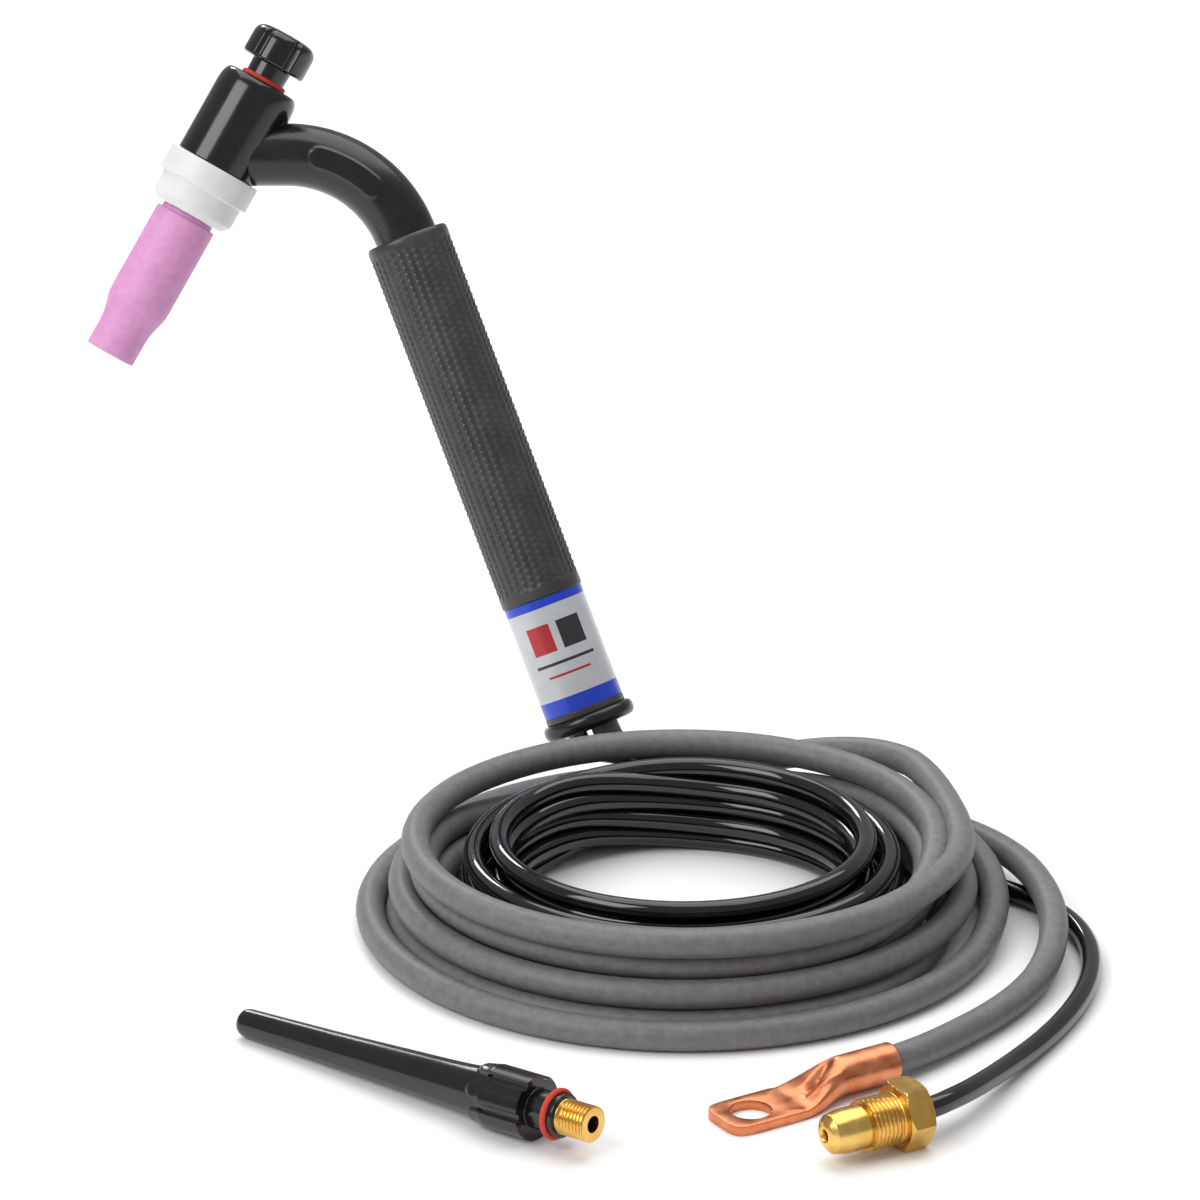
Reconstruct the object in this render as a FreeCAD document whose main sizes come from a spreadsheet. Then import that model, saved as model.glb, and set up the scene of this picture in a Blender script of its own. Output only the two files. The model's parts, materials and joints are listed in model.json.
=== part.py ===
import FreeCAD, Part
import math
import os
import re
import Sketcher
from FreeCAD import Placement, Rotation, Vector

# TIG welding torch with an air-cooled head, a flexible neck, a round handle and two leads
# that are wound on the floor. The row's origin is the middle of the hand grip, +Z is up,
# and the torch is held leaning back over the coil.

doc = FreeCAD.newDocument("tig_torch")

SIZES = {
    # how the torch is held over the floor
    "handle_tilt": 20.7, "back_lean": 19.3, "grip_point": 64.0,
    "foot_x": -30.0, "foot_y": 104.2, "foot_z": 27.5, "foot_depth": 169.5,
    # handle
    "handle_radius": 13.85, "handle_bore": 11.2, "grip_length": 127.0, "label_length": 38.8,
    "label_seat": 13.2, "label_film": 0.25, "lip_length": 2.2, "rim_chamfer": 1.6,
    "plug_depth": 24.0, "plug_top": 2.5, "grommet_stub": 16.0, "grommet_flange": 5.2,
    "grommet_radius": 15.5, "grommet_bore": 9.0, "grommet_round": 1.8,
    # neck
    "neck_radius": 10.35, "neck_bend": 41.7, "neck_turn": 69.3, "neck_straight": 21.7,
    "conduit_radius": 5.0, "conduit_bore": 3.0, "neck_entry": 8.0, "conduit_entry": 26.0,
    # head
    "head_angle": 60.5, "shell_radius": 13.85, "shell_top": 27.4, "shell_bottom": 4.4,
    "shoulder": 6.0, "core_radius": 8.0, "core_top": 24.0, "core_bottom": 9.0,
    "stem_radius": 6.9, "cap_thread": 5.5, "thread_gap": 0.05, "part_gap": 0.3,
    "port_radius": 5.2, "gasket_radius": 16.0, "gasket_step": 14.35, "gasket_upper": 8.8,
    "gasket_lower": 9.2, "gasket_chamfer": 2.3, "gasket_bore": 6.6,
    # nozzle, collet body, collet and electrode
    "nozzle_ring": 9.05, "nozzle_ring_length": 1.7, "nozzle_radius": 10.55,
    "nozzle_body": 33.0, "nozzle_neck": 8.3, "nozzle_outlet": 8.45, "nozzle_outlet_length": 10.0,
    "nozzle_bore": 6.35, "collet_thread": 4.7, "collet_nose": 3.6, "collet_bore": 2.1,
    "collet_radius": 2.0, "electrode_radius": 1.2, "electrode_length": 76.0,
    "electrode_tip": 66.0, "electrode_cone": 5.0,
    # button back cap
    "knob_radius": 11.05, "knob_height": 8.9, "knob_dome": 2.7, "knob_base": 33.6,
    "knob_notch": 1.3, "knob_notches": 6.0, "oring_section": 0.95, "cap_insert_length": 12.0,
    # parts inside the handle
    "block_radius": 9.6, "block_top": 24.0, "block_length": 20.0, "cable_offset": 4.2,
    "hose_offset": 5.2, "stud_radius": 3.4, "stud_length": 20.0, "nut_flats": 9.5,
    "nut_length": 6.0, "barb_radius": 2.0, "barb_length": 14.0, "ferrule_wall": 0.6,
    "ferrule_length": 12.0,
    # leads
    "cable_radius": 4.6, "hose_radius": 3.3, "cable_coil_bore": 70.5, "cable_coil_radius": 103.0,
    "cable_coil_waist": 105.0, "cable_coil_step": 19.0, "cable_coil_crown": 93.0,
    "cable_coil_height": 34.8, "hose_coil_bore": 53.2, "hose_coil_radius": 69.8,
    "hose_coil_height": 34.2,
    # copper lug
    "lug_x": 61.1, "lug_y": -119.8, "lug_turn": 212.5, "lug_radius": 6.1, "lug_bore": 5.3,
    "lug_barrel": 17.5, "lug_waist": 37.0, "lug_length": 61.5, "lug_width": 19.0,
    "lug_plate": 3.2, "lug_hole": 6.4, "lug_hole_at": 50.5,
    # gas fitting
    "fitting_x": 67.3, "fitting_y": -161.6, "fitting_turn": 210.9, "hex_flats": 19.05,
    "hex_length": 8.4, "gas_thread": 7.94, "gas_thread_length": 11.4, "nose_radius": 6.7,
    "nose_length": 13.0, "nose_tip": 3.4, "nose_hole": 1.4, "nipple_stem": 5.0,
    "nipple_barb_length": 14.0, "nut_counterbore": 6.4,
    # long back cap
    "long_x": -134.6, "long_y": -87.0, "long_turn": -39.1, "long_tip": 4.4, "long_mid": 5.3,
    "long_root": 6.9, "long_rod": 86.0, "bulb_radius": 9.9, "bulb_start": 104.0,
    "bulb_end": 116.3, "long_neck": 6.0, "long_collar": 6.7, "long_collar_end": 127.0,
    "long_thread_end": 137.5, "long_bore": 2.6, "bulb_flute": 2.2,
}

sheet = doc.addObject("Spreadsheet::Sheet", "sizes")
for row, (alias, value) in enumerate(SIZES.items(), start=1):
    sheet.set("A%d" % row, alias)
    sheet.set("B%d" % row, "%.4f" % value)
    sheet.setAlias("B%d" % row, alias)
doc.recompute()


def size(expression):
    """The number that an expression of the sheet's aliases gives."""
    return float(sheet.evalExpression(expression))


def bound(expression):
    """The same expression with each alias read from the sheet by another object."""
    return re.sub(r"[a-z]+(_[a-z]+)*", lambda word: "sizes." + word.group()
                  if word.group() in SIZES else word.group(), expression)


parts = []


def node(label, thing, placement):
    """Keeps a sub-part under its node name, at its place."""
    thing.Label = label
    thing.Placement = placement.multiply(thing.Placement)
    parts.append(thing)
    return thing


# --- sketches and solids -----------------------------------------------------------------

def new_sketch(body, role, suffix):
    sketch = body.newObject("Sketcher::SketchObject", body.Name + suffix)
    plane = [item for item in body.Origin.OriginFeatures if item.Role == role][0]
    sketch.AttachmentSupport = [(plane, "")]
    sketch.MapMode = "FlatFace"
    return sketch


def tie(sketch, kind, *rest):
    """Adds a dimension whose last value is an expression of the sheet."""
    number = sketch.addConstraint(Sketcher.Constraint(kind, *rest[:-1], size(rest[-1])))
    sketch.setExpression("Constraints[%d]" % number, bound(rest[-1]))


def outline(body, points, role="XZ_Plane", suffix="_outline"):
    """A closed outline of straight lines, each corner tied to its two expressions."""
    sketch = new_sketch(body, role, suffix)
    corners = [Vector(size(across), size(along), 0) for across, along in points]
    for start, end in zip(corners, corners[1:] + corners[:1]):
        sketch.addGeometry(Part.LineSegment(start, end), False)
    for index, (across, along) in enumerate(points):
        following = (index + 1) % len(points)
        sketch.addConstraint(Sketcher.Constraint("Coincident", index, 2, following, 1))
        for kind, text, axis in (("DistanceX", across, -2), ("DistanceY", along, -1)):
            if text == "0":
                sketch.addConstraint(Sketcher.Constraint("PointOnObject", index, 1, axis))
            else:
                tie(sketch, kind, -1, 1, index, 1, text)
    return sketch


def circle_sketch(body, radii, role="XY_Plane", suffix="_circle", across="0", along="0"):
    """Circles about one centre, each radius tied to its expression."""
    sketch = new_sketch(body, role, suffix)
    centre = Vector(size(across), size(along), 0)
    for index, radius in enumerate(radii):
        sketch.addGeometry(Part.Circle(centre, Vector(0, 0, 1), size(radius)), False)
        for kind, text, axis in (("DistanceX", across, -2), ("DistanceY", along, -1)):
            if text == "0":
                sketch.addConstraint(Sketcher.Constraint("PointOnObject", index, 3, axis))
            else:
                tie(sketch, kind, -1, 1, index, 3, text)
        tie(sketch, "Radius", index, radius)
    return sketch


def turned(name, points):
    """A body of revolution about its own Z, from a (radius, height) outline."""
    body = doc.addObject("PartDesign::Body", name)
    sketch = outline(body, points)
    turn = body.newObject("PartDesign::Revolution", name + "_turn")
    turn.Profile = sketch
    turn.ReferenceAxis = (sketch, ["V_Axis"])
    turn.Angle = 360
    return body


def cylinder(name, radius, length, start="0", across="0"):
    """A round bar along Z, standing on the height start and set off along X."""
    bar = doc.addObject("Part::Cylinder", name)
    bar.setExpression("Radius", bound(radius))
    bar.setExpression("Height", bound(length))
    bar.Placement.Base = Vector(size(across), 0, size(start))
    return bar


def hexagon(name, flats, length, start="0", across="0"):
    """A six-sided bar along Z, from its width across flats."""
    bar = doc.addObject("Part::Prism", name)
    bar.Polygon = 6
    bar.setExpression("Circumradius", bound("(" + flats + ") / 2 / cos(30 deg)"))
    bar.setExpression("Height", bound(length))
    bar.Placement.Base = Vector(size(across), 0, size(start))
    return bar


def joined(name, *shapes):
    fuse = doc.addObject("Part::MultiFuse", name)
    fuse.Shapes = list(shapes)
    return fuse


def cut(name, base, *tools):
    result = doc.addObject("Part::Cut", name)
    result.Base = base
    result.Tool = tools[0] if len(tools) == 1 else joined(name + "_tools", *tools)
    return result


def held(thing, placement):
    """Moves a helper shape before it is joined or cut."""
    thing.Placement = placement
    return thing


# --- where the assemblies stand ----------------------------------------------------------

ABOUT_X = Vector(1, 0, 0)
ABOUT_Y = Vector(0, 1, 0)
ABOUT_Z = Vector(0, 0, 1)

lean = Rotation(ABOUT_X, -size("back_lean"))
torch_turn = lean.multiply(Rotation(ABOUT_Y, -size("handle_tilt")))
handle_up = torch_turn.multVec(ABOUT_Z)
foot = Vector(size("foot_x"), size("foot_y"), size("foot_z"))
hold = foot + handle_up * (size("foot_depth") - size("grip_point"))

# The handle's frame: its top face at Z = 0, the handle below it, the neck bending to -X.
torch_place = Placement(handle_up * size("grip_point"), torch_turn)
# The floor's frame: the middle of the coil, on the floor.
floor_place = Placement(hold * -1, Rotation())


def along_handle(across=0.0):
    return torch_place.multiply(Placement(Vector(across, 0, 0), Rotation()))


turn = math.radians(size("neck_turn"))
bend = size("neck_bend")
straight = size("neck_straight")
neck_way = Vector(-math.sin(turn), 0, math.cos(turn))
bend_end = Vector(-bend * (1 - math.cos(turn)), 0, bend * math.sin(turn))
head_centre = bend_end + neck_way * straight
head_tilt = 180 - size("head_angle") - size("neck_turn")
# The head's frame: where the neck's line meets the head's, +Z towards the back cap.
head_in_torch = Placement(head_centre, Rotation(ABOUT_Y, head_tilt))
head_place = torch_place.multiply(head_in_torch)


def on_floor(x, y, z, degrees, pitch=90.0):
    """A frame lying on the floor, its +Z along the direction given by degrees."""
    heading = Rotation(ABOUT_Z, degrees).multiply(Rotation(ABOUT_Y, pitch))
    return floor_place.multiply(Placement(Vector(x, y, z), heading))


# --- handle ------------------------------------------------------------------------------

GRIP_END = "-grip_length"
LABEL_END = "-grip_length - label_length"
TUBE_END = "-grip_length - label_length - lip_length"
EXIT = "-grip_length - label_length - lip_length - grommet_flange"

node("handle_grip", turned("handle_grip", [
    ("handle_bore", "0"),
    ("handle_radius - rim_chamfer", "0"),
    ("handle_radius", "-rim_chamfer"),
    ("handle_radius", GRIP_END),
    ("label_seat", GRIP_END),
    ("label_seat", LABEL_END),
    ("handle_radius - 0.3", LABEL_END),
    ("handle_radius - 0.3", TUBE_END),
    ("handle_bore", TUBE_END),
]), torch_place)

node("label_band", turned("label_band", [
    ("label_seat", GRIP_END),
    ("label_seat + label_film", GRIP_END),
    ("label_seat + label_film", LABEL_END),
    ("label_seat", LABEL_END),
]), torch_place)

node("end_grommet", turned("end_grommet", [
    ("grommet_bore", TUBE_END + " + grommet_stub"),
    ("handle_bore", TUBE_END + " + grommet_stub"),
    ("handle_bore", TUBE_END),
    ("grommet_radius - grommet_round", TUBE_END),
    ("grommet_radius", TUBE_END + " - grommet_round"),
    ("grommet_radius", EXIT + " + grommet_round"),
    ("grommet_radius - grommet_round", EXIT),
    ("grommet_bore", EXIT),
]), torch_place)

node("neck_plug", turned("neck_plug", [
    ("conduit_radius", "-plug_depth"),
    ("handle_bore", "-plug_depth"),
    ("handle_bore", "-plug_top"),
    ("neck_radius", "-plug_top"),
    ("neck_radius", "-neck_entry"),
    ("conduit_radius", "-neck_entry"),
]), torch_place)

BLOCK_END = "-block_top - block_length"
block = cylinder("block_bar", "block_radius", "block_length", BLOCK_END)
port = cylinder("block_port", "conduit_radius", "conduit_entry - block_top", "-conduit_entry")
way = cylinder("block_way", "conduit_bore / 2", "block_length / 2",
               "-block_top - block_length / 2", "-conduit_bore / 2")
stud_hole = cylinder("block_stud_hole", "stud_radius", "block_length / 2", BLOCK_END,
                     "cable_offset")
barb_hole = cylinder("block_barb_hole", "barb_radius", "block_length / 2", BLOCK_END,
                     "-hose_offset")
node("junction_block", cut("junction_block", block, port, way, stud_hole, barb_hole), torch_place)

STUD_TOP = BLOCK_END + " + block_length / 2"
node("power_stud", cylinder("power_stud", "stud_radius", "stud_length",
                            STUD_TOP + " - stud_length", "cable_offset"), torch_place)
nut_bar = hexagon("power_nut_bar", "nut_flats", "nut_length", BLOCK_END + " - nut_length",
                  "cable_offset")
nut_hole = cylinder("power_nut_hole", "stud_radius", "nut_length * 3",
                    BLOCK_END + " - nut_length * 2", "cable_offset")
node("power_nut", cut("power_nut", nut_bar, nut_hole), torch_place)

FERRULE_TOP = BLOCK_END + " - nut_length"
STUD_END = STUD_TOP + " - stud_length"
node("power_ferrule", turned("power_ferrule", [
    ("stud_radius", FERRULE_TOP),
    ("cable_radius + ferrule_wall", FERRULE_TOP),
    ("cable_radius + ferrule_wall", STUD_END + " - ferrule_length"),
    ("cable_radius", STUD_END + " - ferrule_length"),
    ("cable_radius", STUD_END),
    ("stud_radius", STUD_END),
]), along_handle(size("cable_offset")))
node("power_cable_inner", turned("power_cable_inner", [
    ("0", EXIT),
    ("cable_radius", EXIT),
    ("cable_radius", STUD_END),
    ("0", STUD_END),
]), along_handle(size("cable_offset")))

HOSE_TOP = BLOCK_END + " - 2"
BARB_END = BLOCK_END + " - barb_length"
node("hose_barb", turned("hose_barb", [
    ("0.8", BARB_END),
    ("barb_radius", BARB_END),
    ("barb_radius", BLOCK_END + " + block_length / 2"),
    ("0.8", BLOCK_END + " + block_length / 2"),
]), along_handle(-size("hose_offset")))
node("gas_hose_inner", turned("gas_hose_inner", [
    ("barb_radius", EXIT),
    ("hose_radius", EXIT),
    ("hose_radius", HOSE_TOP),
    ("barb_radius", HOSE_TOP),
]), along_handle(-size("hose_offset")))
node("hose_ferrule", turned("hose_ferrule", [
    ("hose_radius", BARB_END + " - 3"),
    ("hose_radius + ferrule_wall", BARB_END + " - 3"),
    ("hose_radius + ferrule_wall", FERRULE_TOP + " - 1"),
    ("hose_radius", FERRULE_TOP + " - 1"),
]), along_handle(-size("hose_offset")))


# --- neck --------------------------------------------------------------------------------

def bent_tube(name, outer, inner, entry, stop_short):
    """A tube along the neck's line, from inside the handle to short of the head's axis."""
    body = doc.addObject("PartDesign::Body", name)
    spine = new_sketch(body, "XZ_Plane", "_line")
    last = size(stop_short)
    spine.addGeometry(Part.LineSegment(Vector(0, -size(entry), 0), Vector(0, 0, 0)), False)
    bend_circle = Part.Circle(Vector(-bend, 0, 0), Vector(0, 0, 1), bend)
    spine.addGeometry(Part.ArcOfCircle(bend_circle, 0, turn), False)
    arc_end = Vector(bend_end.x, bend_end.z, 0)
    way_out = Vector(neck_way.x, neck_way.z, 0)
    spine.addGeometry(Part.LineSegment(arc_end, arc_end + way_out * (straight - last)), False)
    spine.addConstraint(Sketcher.Constraint("Coincident", 0, 2, -1, 1))
    spine.addConstraint(Sketcher.Constraint("PointOnObject", 0, 1, -2))
    tie(spine, "DistanceY", 0, 1, -1, 1, entry)
    spine.addConstraint(Sketcher.Constraint("Tangent", 0, 2, 1, 1))
    tie(spine, "Radius", 1, "neck_bend")
    spine.addConstraint(Sketcher.Constraint("Tangent", 1, 2, 2, 1))
    tie(spine, "Distance", 2, "neck_straight - (" + stop_short + ")")
    slope = Sketcher.Constraint("Angle", 2, turn + math.pi / 2)
    number = spine.addConstraint(slope)
    spine.setExpression("Constraints[%d]" % number, "(90 + sizes.neck_turn) * 1 deg")
    ring = circle_sketch(body, [outer, inner])
    ring.setExpression("AttachmentOffset.Base.z", bound("-" + entry))
    pipe = body.newObject("PartDesign::AdditivePipe", name + "_pipe")
    pipe.Profile = ring
    pipe.Spine = (spine, [])
    return body


sleeve = bent_tube("neck_sleeve_pipe", "neck_radius", "conduit_radius", "neck_entry",
                   "shell_radius / 3")
shell_space = cylinder("shell_space", "shell_radius + thread_gap", "shell_radius * 6")
held(shell_space, head_in_torch.multiply(Placement(Vector(0, 0, -size("shell_radius") * 3),
                                                   Rotation())))
node("neck_sleeve", cut("neck_sleeve", sleeve, shell_space), torch_place)
node("neck_conduit", bent_tube("neck_conduit", "conduit_radius", "conduit_bore", "conduit_entry",
                               "core_radius + conduit_radius - 0.5"), torch_place)


# --- head --------------------------------------------------------------------------------

def neck_bar(name, radius, start, length):
    """A round bar in the head's frame, along the neck's line, away from the head's axis."""
    bar = cylinder(name, radius, length)
    way = Rotation(ABOUT_Y, size("head_angle"))
    return held(bar, Placement(way.multVec(Vector(0, 0, size(start))), way))


STEM_BORE = "stem_radius + part_gap"
shell = turned("head_shell_turn", [
    ("core_radius", "-shell_bottom"),
    ("shell_radius", "-shell_bottom"),
    ("shell_radius", "shell_top - shoulder"),
    ("shell_radius - shoulder * 0.08", "shell_top - shoulder * 0.6"),
    ("shell_radius - shoulder * 0.3", "shell_top - shoulder * 0.28"),
    ("shell_radius - shoulder * 0.6", "shell_top - shoulder * 0.08"),
    ("shell_radius - shoulder", "shell_top"),
    (STEM_BORE, "shell_top"),
    (STEM_BORE, "core_top"),
    ("core_radius", "core_top"),
])
node("head_shell", cut("head_shell", shell, neck_bar("shell_port", "port_radius", "core_radius / 2",
                                                     "shell_radius * 2")), head_place)

core_bar = turned("head_core_turn", [
    ("0", "-core_bottom"),
    ("core_radius", "-core_bottom"),
    ("core_radius", "core_top"),
    ("0", "core_top"),
])
spigot = neck_bar("core_spigot", "conduit_bore - thread_gap", "core_radius / 2",
                  "shell_radius - core_radius / 2 + conduit_bore")
core_bore = turned("core_bore", [
    ("0", "-core_bottom - 1"),
    ("collet_thread + thread_gap", "-core_bottom - 1"),
    ("collet_thread + thread_gap", "core_top / 2 - 1"),
    ("cap_thread + thread_gap", "core_top / 2"),
    ("cap_thread + thread_gap", "core_top + 1"),
    ("0", "core_top + 1"),
])
gas_way = neck_bar("core_gas_way", "conduit_bore / 2", "0", "shell_radius * 2")
node("head_core", cut("head_core", joined("core_joined", core_bar, spigot), core_bore, gas_way),
     head_place)

NOZZLE_TOP = "-shell_bottom - gasket_upper - gasket_lower"
node("cup_gasket", turned("cup_gasket", [
    ("gasket_bore", "-core_bottom"),
    ("core_radius", "-core_bottom"),
    ("core_radius", "-shell_bottom"),
    ("gasket_radius - 0.6", "-shell_bottom"),
    ("gasket_radius", "-shell_bottom - 0.6"),
    ("gasket_radius", "-shell_bottom - gasket_upper + 0.8"),
    ("gasket_radius - 0.8", "-shell_bottom - gasket_upper"),
    ("gasket_step", "-shell_bottom - gasket_upper"),
    ("gasket_step", NOZZLE_TOP + " + gasket_chamfer"),
    ("gasket_step - gasket_chamfer", NOZZLE_TOP),
    ("gasket_bore", NOZZLE_TOP),
]), head_place)

NOZZLE_NECK = NOZZLE_TOP + " - nozzle_ring_length - nozzle_body"
NOZZLE_END = NOZZLE_NECK + " - nozzle_neck - nozzle_outlet_length"
node("nozzle", turned("nozzle", [
    ("nozzle_bore", NOZZLE_TOP),
    ("nozzle_ring", NOZZLE_TOP),
    ("nozzle_ring", NOZZLE_TOP + " - nozzle_ring_length"),
    ("nozzle_radius", NOZZLE_TOP + " - nozzle_ring_length"),
    ("nozzle_radius", NOZZLE_NECK),
    ("nozzle_radius * 0.85 + nozzle_outlet * 0.15", NOZZLE_NECK + " - nozzle_neck * 0.35"),
    ("nozzle_radius * 0.15 + nozzle_outlet * 0.85", NOZZLE_NECK + " - nozzle_neck * 0.8"),
    ("nozzle_outlet", NOZZLE_NECK + " - nozzle_neck"),
    ("nozzle_outlet", NOZZLE_END),
    ("nozzle_bore", NOZZLE_END),
]), head_place)

THREAD_END = NOZZLE_TOP + " - nozzle_body / 3"
COLLET_END = NOZZLE_NECK + " + nozzle_body / 3"
body_bar = turned("collet_body_turn", [
    ("collet_bore", "core_top / 3"),
    ("collet_thread", "core_top / 3"),
    ("collet_thread", "-core_bottom"),
    ("gasket_bore - part_gap / 2", "-core_bottom"),
    ("gasket_bore - part_gap / 2", NOZZLE_TOP),
    ("nozzle_bore - thread_gap", NOZZLE_TOP),
    ("nozzle_bore - thread_gap", THREAD_END),
    ("collet_nose", THREAD_END + " - 3"),
    ("collet_nose", COLLET_END + " + 2"),
    ("collet_nose - 1", COLLET_END),
    ("electrode_radius + thread_gap", COLLET_END),
    ("electrode_radius + thread_gap", COLLET_END + " + 1"),
    ("collet_bore", COLLET_END + " + 2"),
])
gas_ports = []
for number in range(2):
    hole = cylinder("gas_port_%d" % number, "0.8", "collet_nose * 4")
    across = Rotation(ABOUT_Z, number * 90.0).multiply(Rotation(ABOUT_X, 90))
    start = across.multVec(Vector(0, 0, -size("collet_nose") * 2))
    gas_ports.append(held(hole, Placement(start + Vector(0, 0, size(THREAD_END) - 5), across)))
node("collet_body", cut("collet_body", body_bar, *gas_ports), head_place)

node("collet", turned("collet", [
    ("electrode_radius + thread_gap", COLLET_END + " + 2"),
    ("collet_radius", COLLET_END + " + 2"),
    ("collet_radius", "core_top / 2"),
    ("electrode_radius + thread_gap", "core_top / 2"),
]), head_place)

node("tungsten_electrode", turned("tungsten_electrode", [
    ("0", "-electrode_tip"),
    ("0.2", "-electrode_tip"),
    ("electrode_radius", "-electrode_tip + electrode_cone"),
    ("electrode_radius", "-electrode_tip + electrode_length"),
    ("0", "-electrode_tip + electrode_length"),
]), head_place)

# --- button back cap ---------------------------------------------------------------------

RING_SEAT = "shell_top"
RING_TOP = "shell_top + oring_section * 2 + thread_gap * 2"
INSERT_TOP = "knob_base + oring_section * 2"
knob = turned("back_cap_knob_turn", [
    ("cap_thread", "core_top + thread_gap * 4"),
    ("stem_radius", "core_top + thread_gap * 4"),
    ("stem_radius", RING_SEAT),
    ("stem_radius - oring_section", RING_SEAT),
    ("stem_radius - oring_section", RING_TOP),
    ("stem_radius", RING_TOP),
    ("stem_radius", "knob_base"),
    ("knob_radius - 1", "knob_base"),
    ("knob_radius", "knob_base + 1"),
    ("knob_radius", "knob_base + knob_height - 1.4"),
    ("knob_radius - 1.4", "knob_base + knob_height"),
    ("knob_radius * 0.55", "knob_base + knob_height + knob_dome * 0.75"),
    ("0", "knob_base + knob_height + knob_dome"),
    ("0", INSERT_TOP),
    ("cap_thread", INSERT_TOP),
])
notches = []
for number in range(int(size("knob_notches"))):
    notch = cylinder("knob_notch_%d" % number, "knob_notch", "knob_height * 3")
    place = Rotation(ABOUT_Z, 360.0 * number / size("knob_notches"))
    notches.append(held(notch, Placement(
        place.multVec(Vector(size("knob_radius + knob_notch * 0.3"), 0, size("knob_base - 1"))),
        place)))
node("back_cap_knob", cut("back_cap_knob", knob, *notches), head_place)

node("back_cap_insert", turned("back_cap_insert", [
    ("electrode_radius + part_gap", INSERT_TOP + " - cap_insert_length - knob_height"),
    ("cap_thread", INSERT_TOP + " - cap_insert_length - knob_height"),
    ("cap_thread", INSERT_TOP),
    ("electrode_radius + part_gap", INSERT_TOP),
]), head_place)

ring = doc.addObject("Part::Torus", "back_cap_oring")
ring.setExpression("Radius1", bound("stem_radius + thread_gap"))
ring.setExpression("Radius2", bound("oring_section"))
ring.Placement.Base = Vector(0, 0, size("shell_top + oring_section + thread_gap"))
node("back_cap_oring", ring, head_place)


# --- leads -------------------------------------------------------------------------------

def floor_points(points):
    return [floor_place.multVec(Vector(*point)) for point in points]


def cord_tube(label, points, radius):
    """A round cord: straight runs joined by tangent arcs as large as the runs allow."""
    edges = []
    radii = []
    start = points[0]
    for before, corner, after in zip(points, points[1:], points[2:]):
        back = before - corner
        ahead = after - corner
        reach = 0.45 * min(back.Length, ahead.Length)
        turning = math.pi - back.getAngle(ahead)
        back.normalize()
        ahead.normalize()
        arc_start = corner + back * reach
        arc_end = corner + ahead * reach
        arc_radius = reach / math.tan(turning / 2)
        inward = (back + ahead).normalize()
        depth = arc_radius / math.cos(turning / 2) - arc_radius
        edges.append(Part.LineSegment(start, arc_start).toShape())
        edges.append(Part.Arc(arc_start, corner + inward * depth, arc_end).toShape())
        radii.append(arc_radius)
        start = arc_end
    edges.append(Part.LineSegment(start, points[-1]).toShape())
    path = Part.Wire(edges)
    section = Part.Wire(Part.makeCircle(radius, points[0], points[1] - points[0]))
    tube = path.makePipeShell([section], True, False)
    expected = math.pi * radius * radius * path.Length
    print("%s: length %.0f, volume %.4f of section x length, radii %s" % (
        label, path.Length, tube.Volume / expected, " ".join("%.0f" % item for item in radii)))
    feature = doc.addObject("Part::Feature", label)
    feature.Shape = tube
    return feature


def exit_point(across, below=0.0):
    """A lead's middle on the grommet's end face, or further out along the handle's line."""
    return torch_place.multVec(Vector(across, 0, size(EXIT) - below))


CABLE_LEAD = floor_points([
    (-19.6, 100.3, 17.2), (-11.5, 99.6, 14.3), (2.0, 99.4, 14.0), (18.0, 97.3, 14.6)])
CABLE_TAIL = floor_points([
    (38.0, 91.0, 4.8), (57.0, 83.5, 5.2), (75.0, 71.5, 6.2), (91.0, 55.0, 7.8),
    (101.5, 37.0, 10.0), (109.0, 19.0, 11.5), (114.0, 0.5, 11.6), (116.5, -18.5, 10.2),
    (115.0, -38.5, 7.6), (109.0, -58.0, 5.4), (98.5, -77.0, 4.8), (84.0, -96.0, 5.1)])
HOSE_LEAD = floor_points([
    (-30.8, 99.5, 17.0), (-28.0, 96.6, 15.3), (-23.5, 92.3, 15.6), (-17.0, 87.0, 17.8),
    (-9.0, 81.0, 20.0), (-0.5, 75.5, 19.8), (8.5, 69.5, 18.0)])
HOSE_TAIL = floor_points([
    (46.0, 50.0, 3.4), (62.0, 42.5, 3.4), (79.5, 33.0, 3.4), (96.5, 22.0, 3.4),
    (111.5, 9.5, 3.4), (122.0, -6.0, 3.4), (127.0, -24.0, 3.4), (127.0, -43.0, 3.4),
    (123.5, -62.0, 3.4), (117.0, -80.5, 3.4), (108.5, -98.0, 3.5), (99.5, -114.0, 4.2),
    (91.5, -129.0, 5.9), (84.0, -143.0, 7.9), (77.5, -152.5, 9.2)])

cable_radius = size("cable_radius")
hose_radius = size("hose_radius")
lug_place = on_floor(size("lug_x"), size("lug_y"), size("lug_radius"), size("lug_turn"))
fitting_place = on_floor(size("fitting_x"), size("fitting_y"), size("hex_flats / 2"),
                         size("fitting_turn"))
cable_mouth = lug_place.multVec(Vector(0, 0, size("lug_barrel / 2")))
before_mouth = lug_place.multVec(Vector(0, 0, -6.0))
hose_mouth = fitting_place.multVec(Vector(0, 0, 0.5))
before_nut = fitting_place.multVec(Vector(0, 0, -5.0))

node("power_cable_lead", cord_tube("power_cable_lead", [
    exit_point(size("cable_offset")), exit_point(size("cable_offset"), 4.5)] + CABLE_LEAD,
    cable_radius), Placement())
node("power_cable_tail", cord_tube("power_cable_tail", CABLE_TAIL + [before_mouth, cable_mouth],
                                   cable_radius), Placement())
node("gas_hose_lead", cord_tube("gas_hose_lead", [
    exit_point(-size("hose_offset")), exit_point(-size("hose_offset"), 3.2)] + HOSE_LEAD,
    hose_radius), Placement())
node("gas_hose_tail", cord_tube("gas_hose_tail", HOSE_TAIL + [before_nut, hose_mouth],
                                hose_radius), Placement())

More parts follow.
